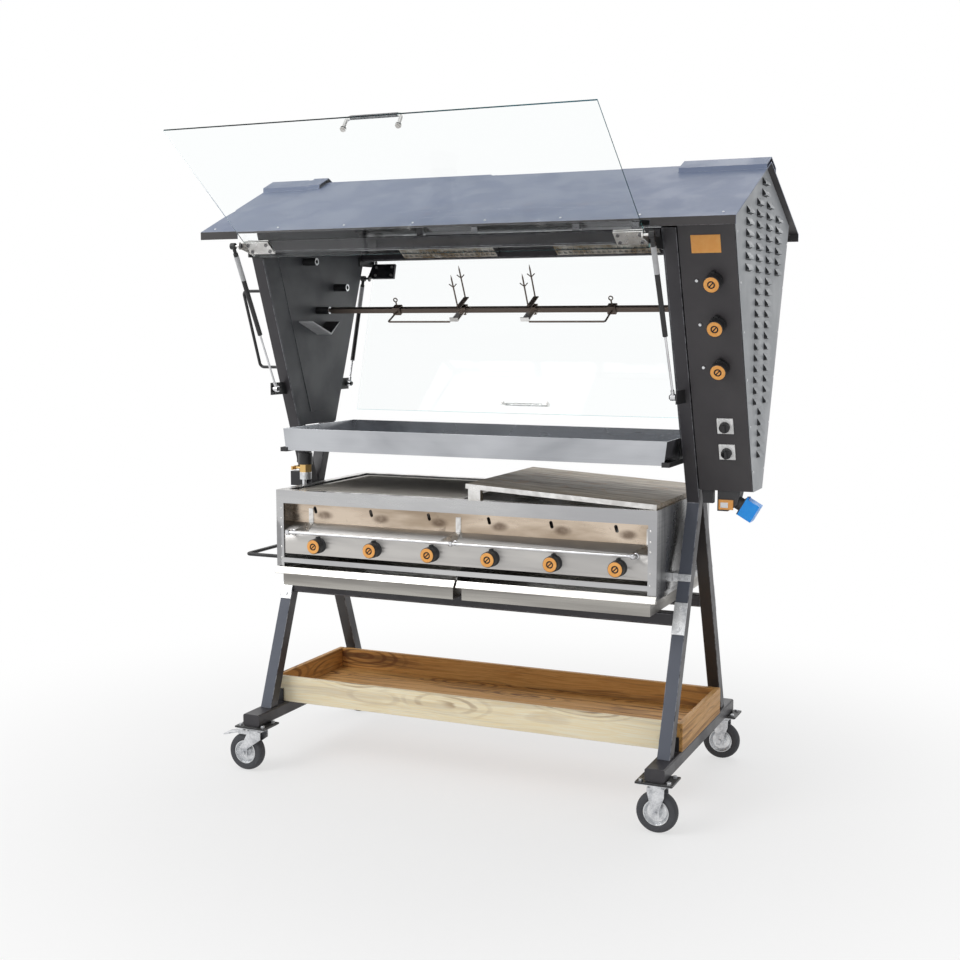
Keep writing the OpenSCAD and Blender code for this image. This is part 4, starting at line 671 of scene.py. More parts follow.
class Look(Enum):
    """Every finish on the cart."""

    ROOF = PowderCoat("roof_coat", "#76829c", "#727e98", 0.42, 0.05, 0.6)
    # Dark eave lips, and the roof's underside painted dark as shade, partly for its grey back coat.
    EAVE = PowderCoat("eave_coat", "#3c393a", "#353233", 0.42, 0.02, 0.7)
    # Front legs: the blue-grey on their front faces is painted light.
    LEG = PowderCoat("leg_coat", "#232226", "#201f23", 0.45, 0.03, 0.5, "#555a66")
    REAR_LEG = PowderCoat("rear_leg_coat", "#332f2e", "#2e2b2b", 0.4, 0.03, 0.4)
    POST = PowderCoat("post_coat", "#38363a", "#343236", 0.42, 0.04, 0.4)
    PANEL = PowderCoat("panel_coat", "#4a4c50", "#45474b", 0.5, 0.03, 0.3)
    CASING = PowderCoat("casing_coat", "#b6babe", "#aeb2b6", 0.42, 0.03, 0.5)
    # Painted shade for the louvres' end pieces and the strip under each blade.
    CHEEK = PowderCoat("louvre_shade", "#2b2c2f", "#242528", 0.5, 0.0, 0.2)
    FRONT = PowderCoat("control_coat", "#3e3b3d", "#3a373a", 0.42, 0.02, 0.3)
    BLACK = PowderCoat("black_coat", "#2b2b2d", "#212122", 0.4, 0.1, 0.4)
    STEEL = BrushedSteel("brushed_stainless", "#c6c6c6", "#acacae", rough=0.3, contrast=0.08,
                         clouds=(1.4, 3.0, 5.0))
    FASCIA = BrushedSteel("fascia_stainless", "#cbc8c4", "#b3b1af", rough=0.34, contrast=0.06,
                          clouds=(1.2, 6.0, 9.0))
    # Drawer lips: a brighter copy of the stainless for faces that look up, painted as highlight, and a darker
    # copy for the others, painted as shade.
    LIP = BrushedSteel("drawer_stainless", "#dddcd8", "#c2c0bb", rough=0.28, clouds=(2.0, 30.0, 12.0),
                       contrast=0.1)
    LIP_FACE = BrushedSteel("drawer_face_stainless", "#b1aea8", "#8b8884", rough=0.3, contrast=0.1,
                            clouds=(1.2, 5.0, 26.0))
    # End walls of the firebox: dark patches painted in as shade.
    WALL = BrushedSteel("wall_stainless", "#b9b9b9", "#4c4c4e", rough=0.25, lines=(700.0, 3.0, 700.0),
                        clouds=(4.0, 7.0, 1.2), contrast=0.15)
    TRAY = BrushedSteel("tray_stainless", "#c4c6ca", "#7f8287", rough=0.2, clouds=(1.3, 3.0, 2.0),
                        contrast=0.05)
    TINTED = HeatTinted("heat_tinted_steel", "#d6c6b4", "#ad9b87", "#6b5a4c", 0.1, 0.3,
                        clouds=(3.0, 6.0, 14.0), contrast=0.05)
    GRATE = BrushedSteel("grate_steel", "#f4f4f8", "#c8c8ce", "#84705a", 0.15, 0.45, clouds=(9.0, 9.0, 9.0),
                         metal=0.25)
    GRIDDLE = BrushedSteel("griddle_steel", "#bfb29d", "#54493e", "#9a743f", 0.3, 0.45,
                           lines=(4.0, 420.0, 420.0), clouds=(1.6, 120.0, 120.0), contrast=0.4, metal=0.6)
    SPIT = BrushedSteel("spit_steel", "#b9b3ae", "#827b75", "#5a4c42", 0.12, 0.45,
                        clouds=(14.0, 14.0, 14.0), metal=0.35)
    CHROME = BrushedSteel("polished_rod", "#e6e6e8", "#bdbdc0", rough=0.14, contrast=0.2)
    HINGE = BrushedSteel("hinge_stainless", "#f0efed", "#c9c7c4", rough=0.3, clouds=(25.0, 25.0, 25.0),
                         contrast=0.1)
    BOLT = BrushedSteel("bolt_steel", "#8f8f91", "#58585a", rough=0.3, clouds=(60.0, 60.0, 60.0))
    DARK_HINGE = BrushedSteel("dark_hinge_steel", "#77777a", "#3a3a3c", rough=0.35, clouds=(25.0, 25.0, 25.0))
    LINING = BrushedSteel("lining_stainless", "#cfcfd1", "#8e8e92", rough=0.2, clouds=(2.0, 6.0, 6.0))
    TUBE = BrushedSteel("burner_steel", "#8d8780", "#565049", "#43372c", 0.4, 0.4, clouds=(12.0, 12.0, 12.0))
    BRASS = BrushedSteel("brass", "#d9a860", "#a87432", rough=0.28, clouds=(40.0, 40.0, 40.0), contrast=0.3)
    ZINC = ZincPlate("zinc_plate", "#f4f5f6", "#c4c6c9")
    DULL_ZINC = ZincPlate("cast_zinc", "#e9eaec", "#adafb3", 260.0, 0.4)
    KNOB = Moulded("knob_plastic", "#222224", "#343436", 0.36)
    HOUSING = Moulded("housing_plastic", "#39393b", "#4a4a4c", 0.5)
    AMBER = Moulded("amber_face", "#fbb663", "#f3a24c", 0.42, 600.0, 0.1)
    PLATE = Moulded("pale_plate", "#ffffff", "#f4f4f2", 0.4)
    BLUE = Moulded("blue_cap", "#109bff", "#34adff", 0.3)
    TYRE = Moulded("tyre_rubber", "#444549", "#56575b", 0.65, 700.0, 0.3)
    LABEL = Moulded("bare_label", "#c3c4c6", "#a8a9ab", 0.35)
    FRONT_GLASS = Glass("front_pane", turn=143.6)
    REAR_GLASS = Glass("rear_pane", turn=74.8)
    WOOD = ScorchedPine("oiled_pine", "#e3b06c", "#c68f48", "#371e0c", 0.8, "#6d431d", 56.0, 0.6)
    PALE_WOOD = ScorchedPine("pale_pine", "#fff6dc", "#fbe8bc", "#6d421c", 0.2, "#87562a", 62.0, 0.2)
    CERAMIC = Plaque("burner_plaque", "#e2ddd4", "#4a443e", 150.0)


# Shapes


@dataclass(frozen=True)
class Site:
    """Where the drawing frame stands in the row frame.

    Attributes:
        x: Its middle along X, in metres.
        y: Its middle along Y, in metres.
    """

    x: float
    y: float

    @classmethod
    def under_beams(cls) -> "Site":
        """Returns the site found from the base beams, which lie about the drawing's middle."""
        low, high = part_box("base_beams")
        return cls((low.x + high.x) / 2, (low.y + high.y) / 2)

    def into_row(self) -> Matrix:
        """Returns the matrix from drawing millimetres to row metres."""
        return Matrix.Translation((self.x, self.y, 0)) @ Matrix.Scale(MM, 4)

    def into_drawing(self) -> Matrix:
        """Returns the matrix from row metres to drawing millimetres."""
        return self.into_row().inverted()


SITE = Site.under_beams()
BODY_OF = {node: body for body, nodes in frame["record"]["behaviour"]["bodies"].items() for node in nodes}


def turned(angle: float, axis: str) -> Matrix:
    """Returns a turn by degrees about an axis."""
    return Matrix.Rotation(math.radians(angle), 4, axis)


def moved(x: float, y: float, z: float) -> Matrix:
    """Returns a shift."""
    return Matrix.Translation((x, y, z))


class Shape:
    """A mesh in the making, in drawing millimetres. New forms land where ``at`` says."""

    def __init__(self, at: Matrix | None = None) -> None:
        """Starts an empty mesh.

        Args:
            at: Where new forms land.
        """
        self.bm = bmesh.new()
        self.at = at or Matrix.Identity(4)
        self.paint = 0

    def add(self, points: Iterable[Point], faces: Iterable[Sequence[int]]) -> None:
        """Adds faces on new points.

        Args:
            points: The points.
            faces: Places of each face's points among them.
        """
        verts = [self.bm.verts.new(self.at @ Vector(p)) for p in points]
        for face in faces:
            self.bm.faces.new([verts[i] for i in face]).material_index = self.paint

    def block(self, low: Point, high: Point) -> None:
        """Adds a box between two corners.

        Args:
            low: Its lowest corner.
            high: Its highest corner.
        """
        corners = [(x, y, z) for x in (low[0], high[0]) for y in (low[1], high[1]) for z in (low[2], high[2])]
        self.add(corners, [(0, 1, 3, 2), (4, 6, 7, 5), (0, 4, 5, 1), (2, 3, 7, 6), (0, 2, 6, 4),
                           (1, 5, 7, 3)])

    def prism(self, outline: Sequence[Point], low: float, high: float) -> None:
        """Adds an outline in XY drawn out along Z.

        Args:
            outline: The outline.
            low: Height of its lower end.
            high: Height of its upper end.
        """
        n = len(outline)
        points = [(x, y, z) for z in (low, high) for x, y in outline]
        sides = [(i, (i + 1) % n, n + (i + 1) % n, n + i) for i in range(n)]
        self.add(points, [tuple(range(n)), tuple(range(n, 2 * n)), *sides])

    def lathe(self, profile: Sequence[Point], sides: int = 40, start: float = 0.0) -> None:
        """Adds a closed solid turned about Z.

        Args:
            profile: Radius and height of each ring, from one end to the other. Radius zero is a pole.
            sides: Number of sides.
            start: Angle of the first side, in degrees.
        """
        points: list[Point] = []
        rings: list[list[int]] = []
        for radius, height in profile:
            count = 1 if radius == 0 else sides
            rings.append(list(range(len(points), len(points) + count)))
            for k in range(count):
                angle = math.radians(start) + math.tau * k / sides
                points.append((radius * math.cos(angle), radius * math.sin(angle), height))
        faces: list[Sequence[int]] = []
        for a, b in zip(rings, rings[1:]):
            for k in range(sides):
                quad = [a[k % len(a)], a[(k + 1) % len(a)], b[(k + 1) % len(b)], b[k % len(b)]]
                faces.append(list(dict.fromkeys(quad)))
        for ring in (rings[0], rings[-1]):
            if len(ring) > 1:
                faces.append(ring)
        self.add(points, faces)

    def ring(self, profile: Sequence[Point], sides: int = 48) -> None:
        """Adds a ring whose closed section of radius and height is turned about Z.

        Args:
            profile: Radius and height of each corner of the section.
            sides: Number of sides.
        """
        n = len(profile)
        points = [(r * math.cos(math.tau * k / sides), r * math.sin(math.tau * k / sides), h)
                  for k in range(sides) for r, h in profile]
        faces = [(k * n + i, k * n + (i + 1) % n, (k + 1) % sides * n + (i + 1) % n, (k + 1) % sides * n + i)
                 for k in range(sides) for i in range(n)]
        self.add(points, faces)

    def done(self, name: str, looks: Sequence[Look]) -> bpy.types.Object:
        """Returns the mesh as an object in row metres, with its normals pointing out."""
        bmesh.ops.recalc_face_normals(self.bm, faces=self.bm.faces)
        return land(self.bm, name, looks, SITE.into_row())


def put(name: str, data: bpy.types.ID) -> bpy.types.Object:
    """Puts a mesh, lamp or camera into the scene as an object.

    Args:
        name: Name of the object.
        data: What it shows.

    Returns:
        The object.
    """
    made = bpy.data.objects.new(name, data)
    bpy.context.scene.collection.objects.link(made)
    return made


def land(bm: bmesh.types.BMesh, name: str, looks: Sequence[Look], matrix: Matrix) -> bpy.types.Object:
    """Turns a mesh in the making into an object, placed by a matrix in its vertices.

    Args:
        bm: The mesh. It is used up.
        name: Name of the object.
        looks: Its finishes.
        matrix: From the units of the mesh to metres.

    Returns:
        The object.
    """
    bm.transform(matrix)
    mesh = bpy.data.meshes.new(name)
    bm.to_mesh(mesh)
    bm.free()
    for look in looks:
        mesh.materials.append(look.value.material())
    return put(name, mesh)


def apply_modifiers(made: bpy.types.Object) -> bpy.types.Object:
    """Bakes an object's modifiers into its mesh.

    Args:
        made: The object.

    Returns:
        The same object, with no modifier left.
    """
    view = bpy.context.evaluated_depsgraph_get()
    view.update()
    mesh = bpy.data.meshes.new_from_object(made.evaluated_get(view), depsgraph=view)
    mesh.name = made.name
    made.modifiers.clear()
    made.data = mesh
    return made


def grown(name: str, mesh: bpy.types.Mesh, tree: bpy.types.NodeTree, values: dict) -> bpy.types.Object:
    """Makes a piece with a Geometry Nodes tree.

    Args:
        name: Name of the piece.
        mesh: What the tree starts from.
        tree: The tree.
        values: Values of its inputs, by name.

    Returns:
        The piece as one plain mesh.
    """
    made = put(name, mesh)
    modifier = made.modifiers.new("grow", "NODES")
    modifier.node_group = tree
    for item in tree.interface.items_tree:
        if item.in_out == "INPUT" and item.name in values:
            modifier[item.identifier] = values[item.name]
    return apply_modifiers(made)


def soften(made: bpy.types.Object, width: float = 0.0, angle: float = 35.0) -> bpy.types.Object:
    """Rounds the sharp edges of an object and shades it smooth between them.

    Args:
        made: The object.
        width: Width of the rounding in millimetres, or zero for none.
        angle: Edges sharper than this many degrees are rounded.

    Returns:
        The same object.
    """
    if width > 0:
        flag = max(1, len(made.data.materials))
        bevel = made.modifiers.new("edge", "BEVEL")
        bevel.width, bevel.segments = width * MM, ROUND_STEPS
        bevel.limit_method, bevel.angle_limit = "ANGLE", math.radians(angle)
        bevel.use_clamp_overlap = True
        made.data.materials.append(None)
        bevel.material = flag
        apply_modifiers(made)
        mark_rims(made, flag)
    made.data.shade_smooth()
    made.data.set_sharp_from_angle(angle=math.radians(ROUNDED_SHARP if width > 0 else angle))
    made.modifiers.new("level", "WEIGHTED_NORMAL").keep_sharp = True
    return apply_modifiers(made)


def mark_rims(made: bpy.types.Object, flag: int) -> None:
    """Gives the rounded faces a "rim" attribute of one, and the finish of the faces beside them.

    Args:
        made: The object, whose rounded faces have the material index of the flag.
        flag: That index. Its slot is removed.
    """
    bm = bmesh.new()
    bm.from_mesh(made.data)
    rim = bm.loops.layers.float.new("rim")
    waiting = [face for face in bm.faces if face.material_index == flag]
    for face in waiting:
        for loop in face.loops:
            loop[rim] = 1.0
    while waiting:
        left = []
        for face in waiting:
            beside = [f.material_index for e in face.edges for f in e.link_faces if f.material_index != flag]
            if beside:
                face.material_index = max(set(beside), key=beside.count)
            else:
                left.append(face)
        if len(left) == len(waiting):
            for face in left:
                face.material_index = 0
            left = []
        waiting = left
    bm.to_mesh(made.data)
    bm.free()
    made.data.materials.pop(index=flag)


def settle(made: bpy.types.Object, body: str, slot: str, *stands_for: str) -> bpy.types.Object:
    """Attaches a finished piece to its body and hides the CAD nodes that it stands for.

    Args:
        made: The piece.
        body: The body that it rides on.
        slot: The record's material slot. It is not used.
        stands_for: CAD nodes that it stands for.

    Returns:
        The same piece.
    """
    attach(made, body)
    if stands_for:
        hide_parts(*stands_for)
    log.info("piece %s rides on %s", made.name, body)
    return made


def dressed(node: str, slot: str, looks: Sequence[Look], zone: Zone | None = None,
            edge: float = 0.6) -> bpy.types.Object:
    """Makes a copy of a CAD node with softened edges, which stands for it.

    Args:
        node: The CAD node.
        slot: The record's material slot.
        looks: Finishes of the copy.
        zone: Says which finish a face has, from its middle and its normal in drawing millimetres.
        edge: Width of the rounding of its edges.

    Returns:
        The new piece.
    """
    bm = bmesh.new()
    bm.from_mesh(frame["nodes"][node].data)
    bmesh.ops.remove_doubles(bm, verts=bm.verts, dist=MERGE * MM)
    if edge > 0:
        bmesh.ops.dissolve_limit(bm, angle_limit=math.radians(FLAT_ANGLE), verts=bm.verts, edges=bm.edges)
    bm.transform(SITE.into_drawing())
    bm.normal_update()
    for face in bm.faces:
        face.material_index = zone(face.calc_center_median(), face.normal) if zone else 0
    made = soften(land(bm, node + "_skin", looks, SITE.into_row()), edge)
    return settle(made, BODY_OF[node], slot, node)


class Repeater:
    """A Geometry Nodes tree that sets one unit on every point of a mesh.

    The points carry their turn in a "turn" attribute. Named inputs are the unit, its size, a random
    spin about its own axis, the seed of that spin and the finish.
    """

    NAME = "repeat_unit"

    @classmethod
    def tree(cls) -> bpy.types.NodeTree:
        """Returns the tree, built the first time it is asked for.

        Returns:
            The tree.
        """
        made = bpy.data.node_groups.get(cls.NAME)
        if made is not None:
            return made
        made = new_tree(cls.NAME, "GeometryNodeTree", (
            ("Points", GEOMETRY), ("Unit", "NodeSocketObject"), ("Size", FLOAT), ("Spin", FLOAT),
            ("Seed", "NodeSocketInt"), ("Finish", "NodeSocketMaterial")), (("Pieces", GEOMETRY),))
        g = Graph(made)
        takes = g.add("NodeGroupInput").outputs
        unit = g.add("GeometryNodeObjectInfo", {"Object": takes["Unit"]})
        turn = g.add("GeometryNodeInputNamedAttribute", {"Name": "turn"}, data_type="FLOAT_VECTOR")
        spin = g.add("FunctionNodeRandomValue", {2: 0.0, 3: takes["Spin"], "Seed": takes["Seed"]},
                     data_type="FLOAT")
        about = g.add("ShaderNodeCombineXYZ", {2: spin.outputs[1]})
        laid = g.add("GeometryNodeInstanceOnPoints", {
            "Points": takes["Points"], "Instance": unit.outputs["Geometry"],
            "Rotation": turn.outputs[0], "Scale": takes["Size"]})
        spun = g.add("GeometryNodeRotateInstances", {
            "Instances": laid.outputs[0], "Rotation": about.outputs[0], "Local Space": True})
        real = g.add("GeometryNodeRealizeInstances", {0: spun.outputs[0]})
        coat = g.add("GeometryNodeSetMaterial", {"Geometry": real.outputs[0], "Material": takes["Finish"]})
        g.add("NodeGroupOutput", {0: coat.outputs[0]})
        return made

    @classmethod
    def lay(cls, name: str, unit: bpy.types.Object, places: Sequence[Matrix], look: Look, spin: float = 0.0,
            seed: int = 1) -> bpy.types.Object:
        """Sets a unit at each place.

        Args:
            name: Name of the new piece.
            unit: The unit in metres about its own origin. It is deleted.
            places: Matrices in drawing millimetres.
            look: The finish of all.
            spin: Largest random spin in radians.
            seed: Seed of the spin.

        Returns:
            The piece as one plain mesh.
        """
        mesh = bpy.data.meshes.new(name)
        row = SITE.into_row()
        mesh.from_pydata([tuple((row @ p).translation) for p in places], [], [])
        turn = mesh.attributes.new("turn", "FLOAT_VECTOR", "POINT")
        for item, place in zip(turn.data, places):
            item.vector = tuple(place.to_euler())
        values = {"Unit": unit, "Size": 1.0, "Spin": spin, "Seed": seed, "Finish": look.value.material()}
        made = grown(name, mesh, cls.tree(), values)
        for attribute in [a for a in made.data.attributes if a.name == "turn"]:
            made.data.attributes.remove(attribute)
        bpy.data.objects.remove(unit)
        made.data.shade_smooth()
        made.data.set_sharp_from_angle(angle=math.radians(35))
        return made


def unit_of(shape: Shape, name: str, width: float = 0.0) -> bpy.types.Object:
    """Returns a shape drawn about the origin as a unit in metres.

    Args:
        shape: The shape. It is used up.
        name: Name of the unit.
        width: Width of the rounding of its edges.

    Returns:
        The unit.
    """
    bmesh.ops.recalc_face_normals(shape.bm, faces=shape.bm.faces)
    made = land(shape.bm, name, (), Matrix.Scale(MM, 4))
    return soften(made, width) if width else made


# The cart


@dataclass(frozen=True)
class Cart:
    """Sizes that more than one sub-assembly needs, in drawing millimetres and degrees."""

    leg_x: float = 684
    leg: float = 40
    lower_lean: float = 21.3
    upper_lean: float = 20.8
    waist_z: float = 925
    beam_top: float = 198
    roof_left: float = 828
    roof_right: float = 891
    eave_y: float = 430
    eave_z: float = 1757
    ridge_z: float = 1942
    box_half: float = 647
    box_y: float = 298
    fascia_y: float = 294
    knob_z: float = 754
    hinge_y: float = 404
    hinge_z: float = 1692
    open_angle: float = 143.6
    swing: float = 141.6
    knob_middle: float = 22
    knob_pitch: float = 204

    def face_y(self, z: float) -> float:
        """Returns how far the outer face of a leg is from the middle plane at a height.

        Args:
            z: The height.

        Returns:
            The distance.
        """
        deep = self.leg / math.cos(math.radians(self.lower_lean))
        lean = self.lower_lean if z < self.waist_z else self.upper_lean
        return deep + abs(z - self.waist_z) * math.tan(math.radians(lean))

    def on_panel(self, x: float, z: float) -> Matrix:
        """Returns a place on the control panel whose Z points out of it."""
        return moved(x, -self.face_y(z), z) @ turned(90 + self.upper_lean, "X")

    def on_fascia(self, i: int) -> Matrix:
        """Returns the place of a burner knob's spindle on the fascia, with Z pointing out."""
        x = self.knob_middle + (i - 2.5) * self.knob_pitch
        return moved(x, -self.fascia_y, self.knob_z) @ turned(90, "X")

    def roof_top(self, y: float) -> float:
        """Returns the height of the roof sheet at a distance from the ridge."""
        return self.ridge_z - abs(y) * (self.ridge_z - self.eave_z) / self.eave_y


CART = Cart()


@dataclass
class Undercarriage:
    """Base beams, legs, rails, clamps and handles."""

    edge: float = 2.0

    def build(self) -> None:
        """Makes the frame's pieces."""
        dressed("base_beams", "frame_paint", (Look.POST, Look.BLACK),
                lambda c, n: int(c.z > CART.beam_top + 0.5), self.edge)
        for node, coat in (("front_legs", Look.LEG), ("rear_legs", Look.REAR_LEG)):
            dressed(node, "frame_paint", (coat, Look.POST), lambda c, n: int(c.z > CART.waist_z), self.edge)
        dressed("cross_rails", "frame_paint", (Look.POST,), edge=1.0)
        dressed("frame_clamps", "zinc", (Look.ZINC,), edge=0.7)
        dressed("push_handles", "black_paint", (Look.BLACK,), edge=0.0)
        dressed("post_brackets", "black_paint", (Look.BLACK,))


@dataclass
class WoodTray:
    """The flamed wooden tray between the base beams.

    Attributes:
        apart: How far apart, in metres of grain, two boards may start at the most.
    """

    length: float = 1428
    depth: float = 456
    height: float = 86
    board: float = 18
    floor_boards: int = 5
    gap: float = 2
    edge: float = 2.2
    seed: int = 4
    apart: float = 9

    def build(self) -> None:
        """Makes the boards, each with its own stretch of grain."""
        rng = random.Random(self.seed)
        half, deep, z = self.length / 2, self.depth / 2, CART.beam_top
        width = (self.depth - 2 * self.board - (self.floor_boards + 1) * self.gap) / self.floor_boards
        inner = half - self.board
        boards = [((-inner, -deep, z), (inner, self.board - deep, z + self.height), 0),
                  ((-inner, deep - self.board, z), (inner, deep, z + self.height), 0),
                  ((-half, -deep, z), (-inner, deep, z + self.height), 1),
                  ((inner, -deep, z), (half, deep, z + self.height), 1)]
        for i in range(self.floor_boards):
            y = self.board + self.gap - deep + i * (width + self.gap)
            boards.append(((-inner, y, z), (inner, y + width, z + self.board), 0))
        shape = Shape()
        for n, (low, high, _) in enumerate(boards):
            shape.paint = int(n == 0)
            shape.block(low, high)
        made = shape.done("wood_boards", (Look.WOOD, Look.PALE_WOOD))
        grain = made.data.attributes.new("grain", "FLOAT_VECTOR", "POINT")
        for n, (_, _, along) in enumerate(boards):
            start = Vector([rng.uniform(0, self.apart) for _ in range(3)])
            for k in range(8 * n, 8 * n + 8):
                co = made.data.vertices[k].co
                grain.data[k].vector = (co.yxz if along else co) + start
        settle(soften(made, self.edge), "frame", "pine", "wood_tray")


@dataclass
class Casters:
    """Four casters: wheels with tyres, forks and brake pedals.

    Attributes:
        crown: How far the tread's edges are inside its crown.
        web: Half the thickness of the wheel's web.
        hub: Radius of the hub's flange.
        trail: How far a swivelling wheel's axle is beside its kingpin.
        inset: Distance of the axles from the middle plane.
        pad: Heights between which the black pads are.
        pad_y: The pads are nearer to the middle plane than this.
    """

    wheel: float = 125
    tyre_width: float = 37
    tyre_depth: float = 24
    crown: float = 9
    web: float = 4
    hub: float = 17
    hub_half: float = 19.5
    bore: float = 5.1
    trail: float = 38
    inset: float = 379
    pad: tuple[float, float] = (151.9, 158.1)
    pad_y: float = 430

    def build(self) -> None:
        """Makes the wheels and dresses forks, plates and pedals."""
        dressed("caster_plates", "zinc", (Look.DULL_ZINC, Look.BLACK), self.plate_zone, 0.8)
        for end in ("front", "rear"):
            for part in ("fork", "brake"):
                dressed(f"left_{end}_{part}", "zinc", (Look.DULL_ZINC,), edge=0.8)
        for side, x in (("right", CART.leg_x), ("left", -CART.leg_x - self.trail)):
            for end, y in (("front", -self.inset), ("rear", self.inset)):
                self.make_wheel(f"{side}_{end}_wheel", (x, y, self.wheel / 2))

    def plate_zone(self, middle: Vector, normal: Vector) -> int:
        """Black pads between the beams and the zinc plates."""
        return int(self.pad[0] < middle.z < self.pad[1] and abs(middle.y) < self.pad_y)

    def make_wheel(self, name: str, centre: Point) -> None:
        """Makes one wheel.

        Args:
            name: The CAD node that it stands for.
            centre: Its middle.
        """
        shape = Shape(moved(*centre) @ turned(90, "X"))
        r, w, web, hub = self.wheel / 2, self.tyre_width / 2, self.web, self.hub
        inner = r - self.tyre_depth
        turns = [math.radians(angle) for angle in range(-80, 81, 16)]
        tread = [(r - self.crown * (1 - math.cos(a)), w * 0.98 * math.sin(a)) for a in turns]
        shape.ring([(inner + 1, -w * 0.86), (inner + 7, -w), *tread, (inner + 7, w), (inner + 1, w * 0.86)])
        shape.paint = 1
        rim = [(inner, w * 0.9), (inner - 2, w * 0.92), (inner - 4, w * 0.6), (inner - 9, web), (hub, web),
               (hub - 3.5, 12), (hub - 4, self.hub_half), (self.bore, self.hub_half)]
        shape.ring([*rim, *[(radius, -h) for radius, h in reversed(rim)]])
        made = shape.done(name + "_built", (Look.TYRE, Look.ZINC))
        settle(soften(made), name, "tyre", name)


@dataclass
class Hood:
    """Roof, side panels, louvred housing, control panel and lining.

    Attributes:
        rows: How many louvres stand in each row, from the top.
        hung: What hangs under the lining is behind, below and between these places.
        rest_y: The spit rest's front limb is before this place.
        rest_z: And it is below the first height. Tubes with bright ends are above the second.
        ridge_drop: How far the louvred sheet's tip is under the ridge.
        screw_steps: Height of the first screw on the casing, and the steps between them.
    """

    louvre_w: float = 62
    louvre_h: float = 20
    louvre_out: float = 10.5
    skin: float = 1.5
    pitch: float = 32.2
    step: float = 130
    top: float = 1886
    rows: tuple[int, ...] = (1, 1, 2) + (4,) * 6 + (2,) * 12 + (1,) * 5
    casing_x: float = 872
    casing_z: float = 968
    ridge_drop: float = 3.4
    floor_play: float = 3
    panel_len: float = 868
    panel_deep: float = 2.8
    panel_play: float = 3.5
    post_right: float = 704
    hung: tuple[float, float, float] = (190, 1775, 500)
    rest_y: float = -4
    rest_z: tuple[float, float] = (1480, 1500)
    screw_inset: float = 40
    screw_edge: tuple[float, float] = (24, 13)
    screw_steps: tuple[float, float] = (1030, 138)

    def build(self) -> None:
        """Makes the hood's pieces."""
        dressed("roof", "roof_paint", (Look.ROOF, Look.EAVE), self.roof_zone, 0.9)
        dressed("side_panels", "panel_paint", (Look.PANEL,), edge=0.8)
        self.make_control_panel()
        self.make_casing()
        dressed("radiant_burners", "stainless", (Look.LINING, Look.STEEL, Look.CERAMIC),
                self.radiant_zone, 0.5)
        dressed("spit_rests", "zinc", (Look.BLACK, Look.ZINC, Look.LABEL), self.rest_zone)
        dressed("drive_motors", "black_paint", (Look.BLACK,), edge=1.0)
        self.lay_screws()

    @staticmethod
    def roof_zone(middle: Vector, normal: Vector) -> int:
        """Dark eave lips, and the underside painted dark as shade that partly stands for its grey back coat,
        under the coloured sheets.
        """
        return int(normal.z < -0.3 or middle.z < CART.eave_z + 1 and abs(normal.y) > 0.9)

    def rest_zone(self, middle: Vector, normal: Vector) -> int:
        """Bright tube ends and a bright front limb on the spit rest.

        Args:
            middle: Middle of a face, in drawing millimetres.
            normal: Its normal.

        Returns:
            The place of its finish among the piece's looks.
        """
        if middle.y < self.rest_y and middle.z < self.rest_z[0]:
            return 2
        return int(normal.x > 0.9 and middle.z > self.rest_z[1])

    def radiant_zone(self, middle: Vector, normal: Vector) -> int:
        """Steel boxes and ceramic faces under the lining.

        Args:
            middle: Middle of a face, in drawing millimetres.
            normal: Its normal.

        Returns:
            The place of its finish among the piece's looks.
        """
        y, z, x = self.hung
        if middle.y <= y or middle.z >= z or abs(middle.x) >= x:
            return 0
        return 2 if normal.z < -0.5 else 1

    def make_control_panel(self) -> None:
        """Makes the sloping panel, with an open line between it and the post."""
        shape = Shape(CART.on_panel(0, self.casing_z))
        shape.block((self.post_right + self.panel_play, 0, -self.panel_deep),
                    (self.casing_x - self.panel_deep - 0.5, self.panel_len, 0))
        made = shape.done("control_panel_built", (Look.FRONT,))
        settle(soften(made, 0.8), "frame", "black_paint", "control_panel")

    def gable(self) -> list[tuple[float, float]]:
        """Returns the outline of the louvred sheet, as places across and up.

        Returns:
            Five corners from the lower front one on.
        """
        slope = (CART.ridge_z - CART.eave_z) / CART.eave_y
        top = CART.ridge_z - self.ridge_drop
        rise = math.tan(math.radians(CART.upper_lean))
        deep = (CART.face_y(CART.waist_z) + (top - CART.waist_z) * rise) / (1 + slope * rise)
        low, shoulder = CART.face_y(self.casing_z), top - deep * slope
        return [(-low, self.casing_z), (low, self.casing_z), (deep, shoulder), (0, top), (-deep, shoulder)]

    def make_casing(self) -> None:
        """Makes the louvred sheet, its rear sheet and floor, and sets its louvres."""
        shape = Shape(Matrix(((0, 0, 1, 0), (1, 0, 0, 0), (0, 1, 0, 0), (0, 0, 0, 1))))
        inside = self.casing_x - self.skin
        gable = self.gable()
        shape.prism(gable, inside, self.casing_x)
        (low_y, low_z), (high_y, high_z) = gable[1:3]
        shape.prism([(low_y - self.skin, low_z), (low_y, low_z), (high_y, high_z),
                     (high_y - self.skin, high_z)], self.post_right, inside)
        half = low_y - self.floor_play
        shape.prism([(-half, low_z), (half, low_z), (half, low_z + self.skin), (-half, low_z + self.skin)],
                    self.post_right, inside)
        made = shape.done("casing_sheet", (Look.CASING,))
        settle(soften(made, 0.5), "frame", "casing_paint", "louvre_panel")
        self.lay_louvres()

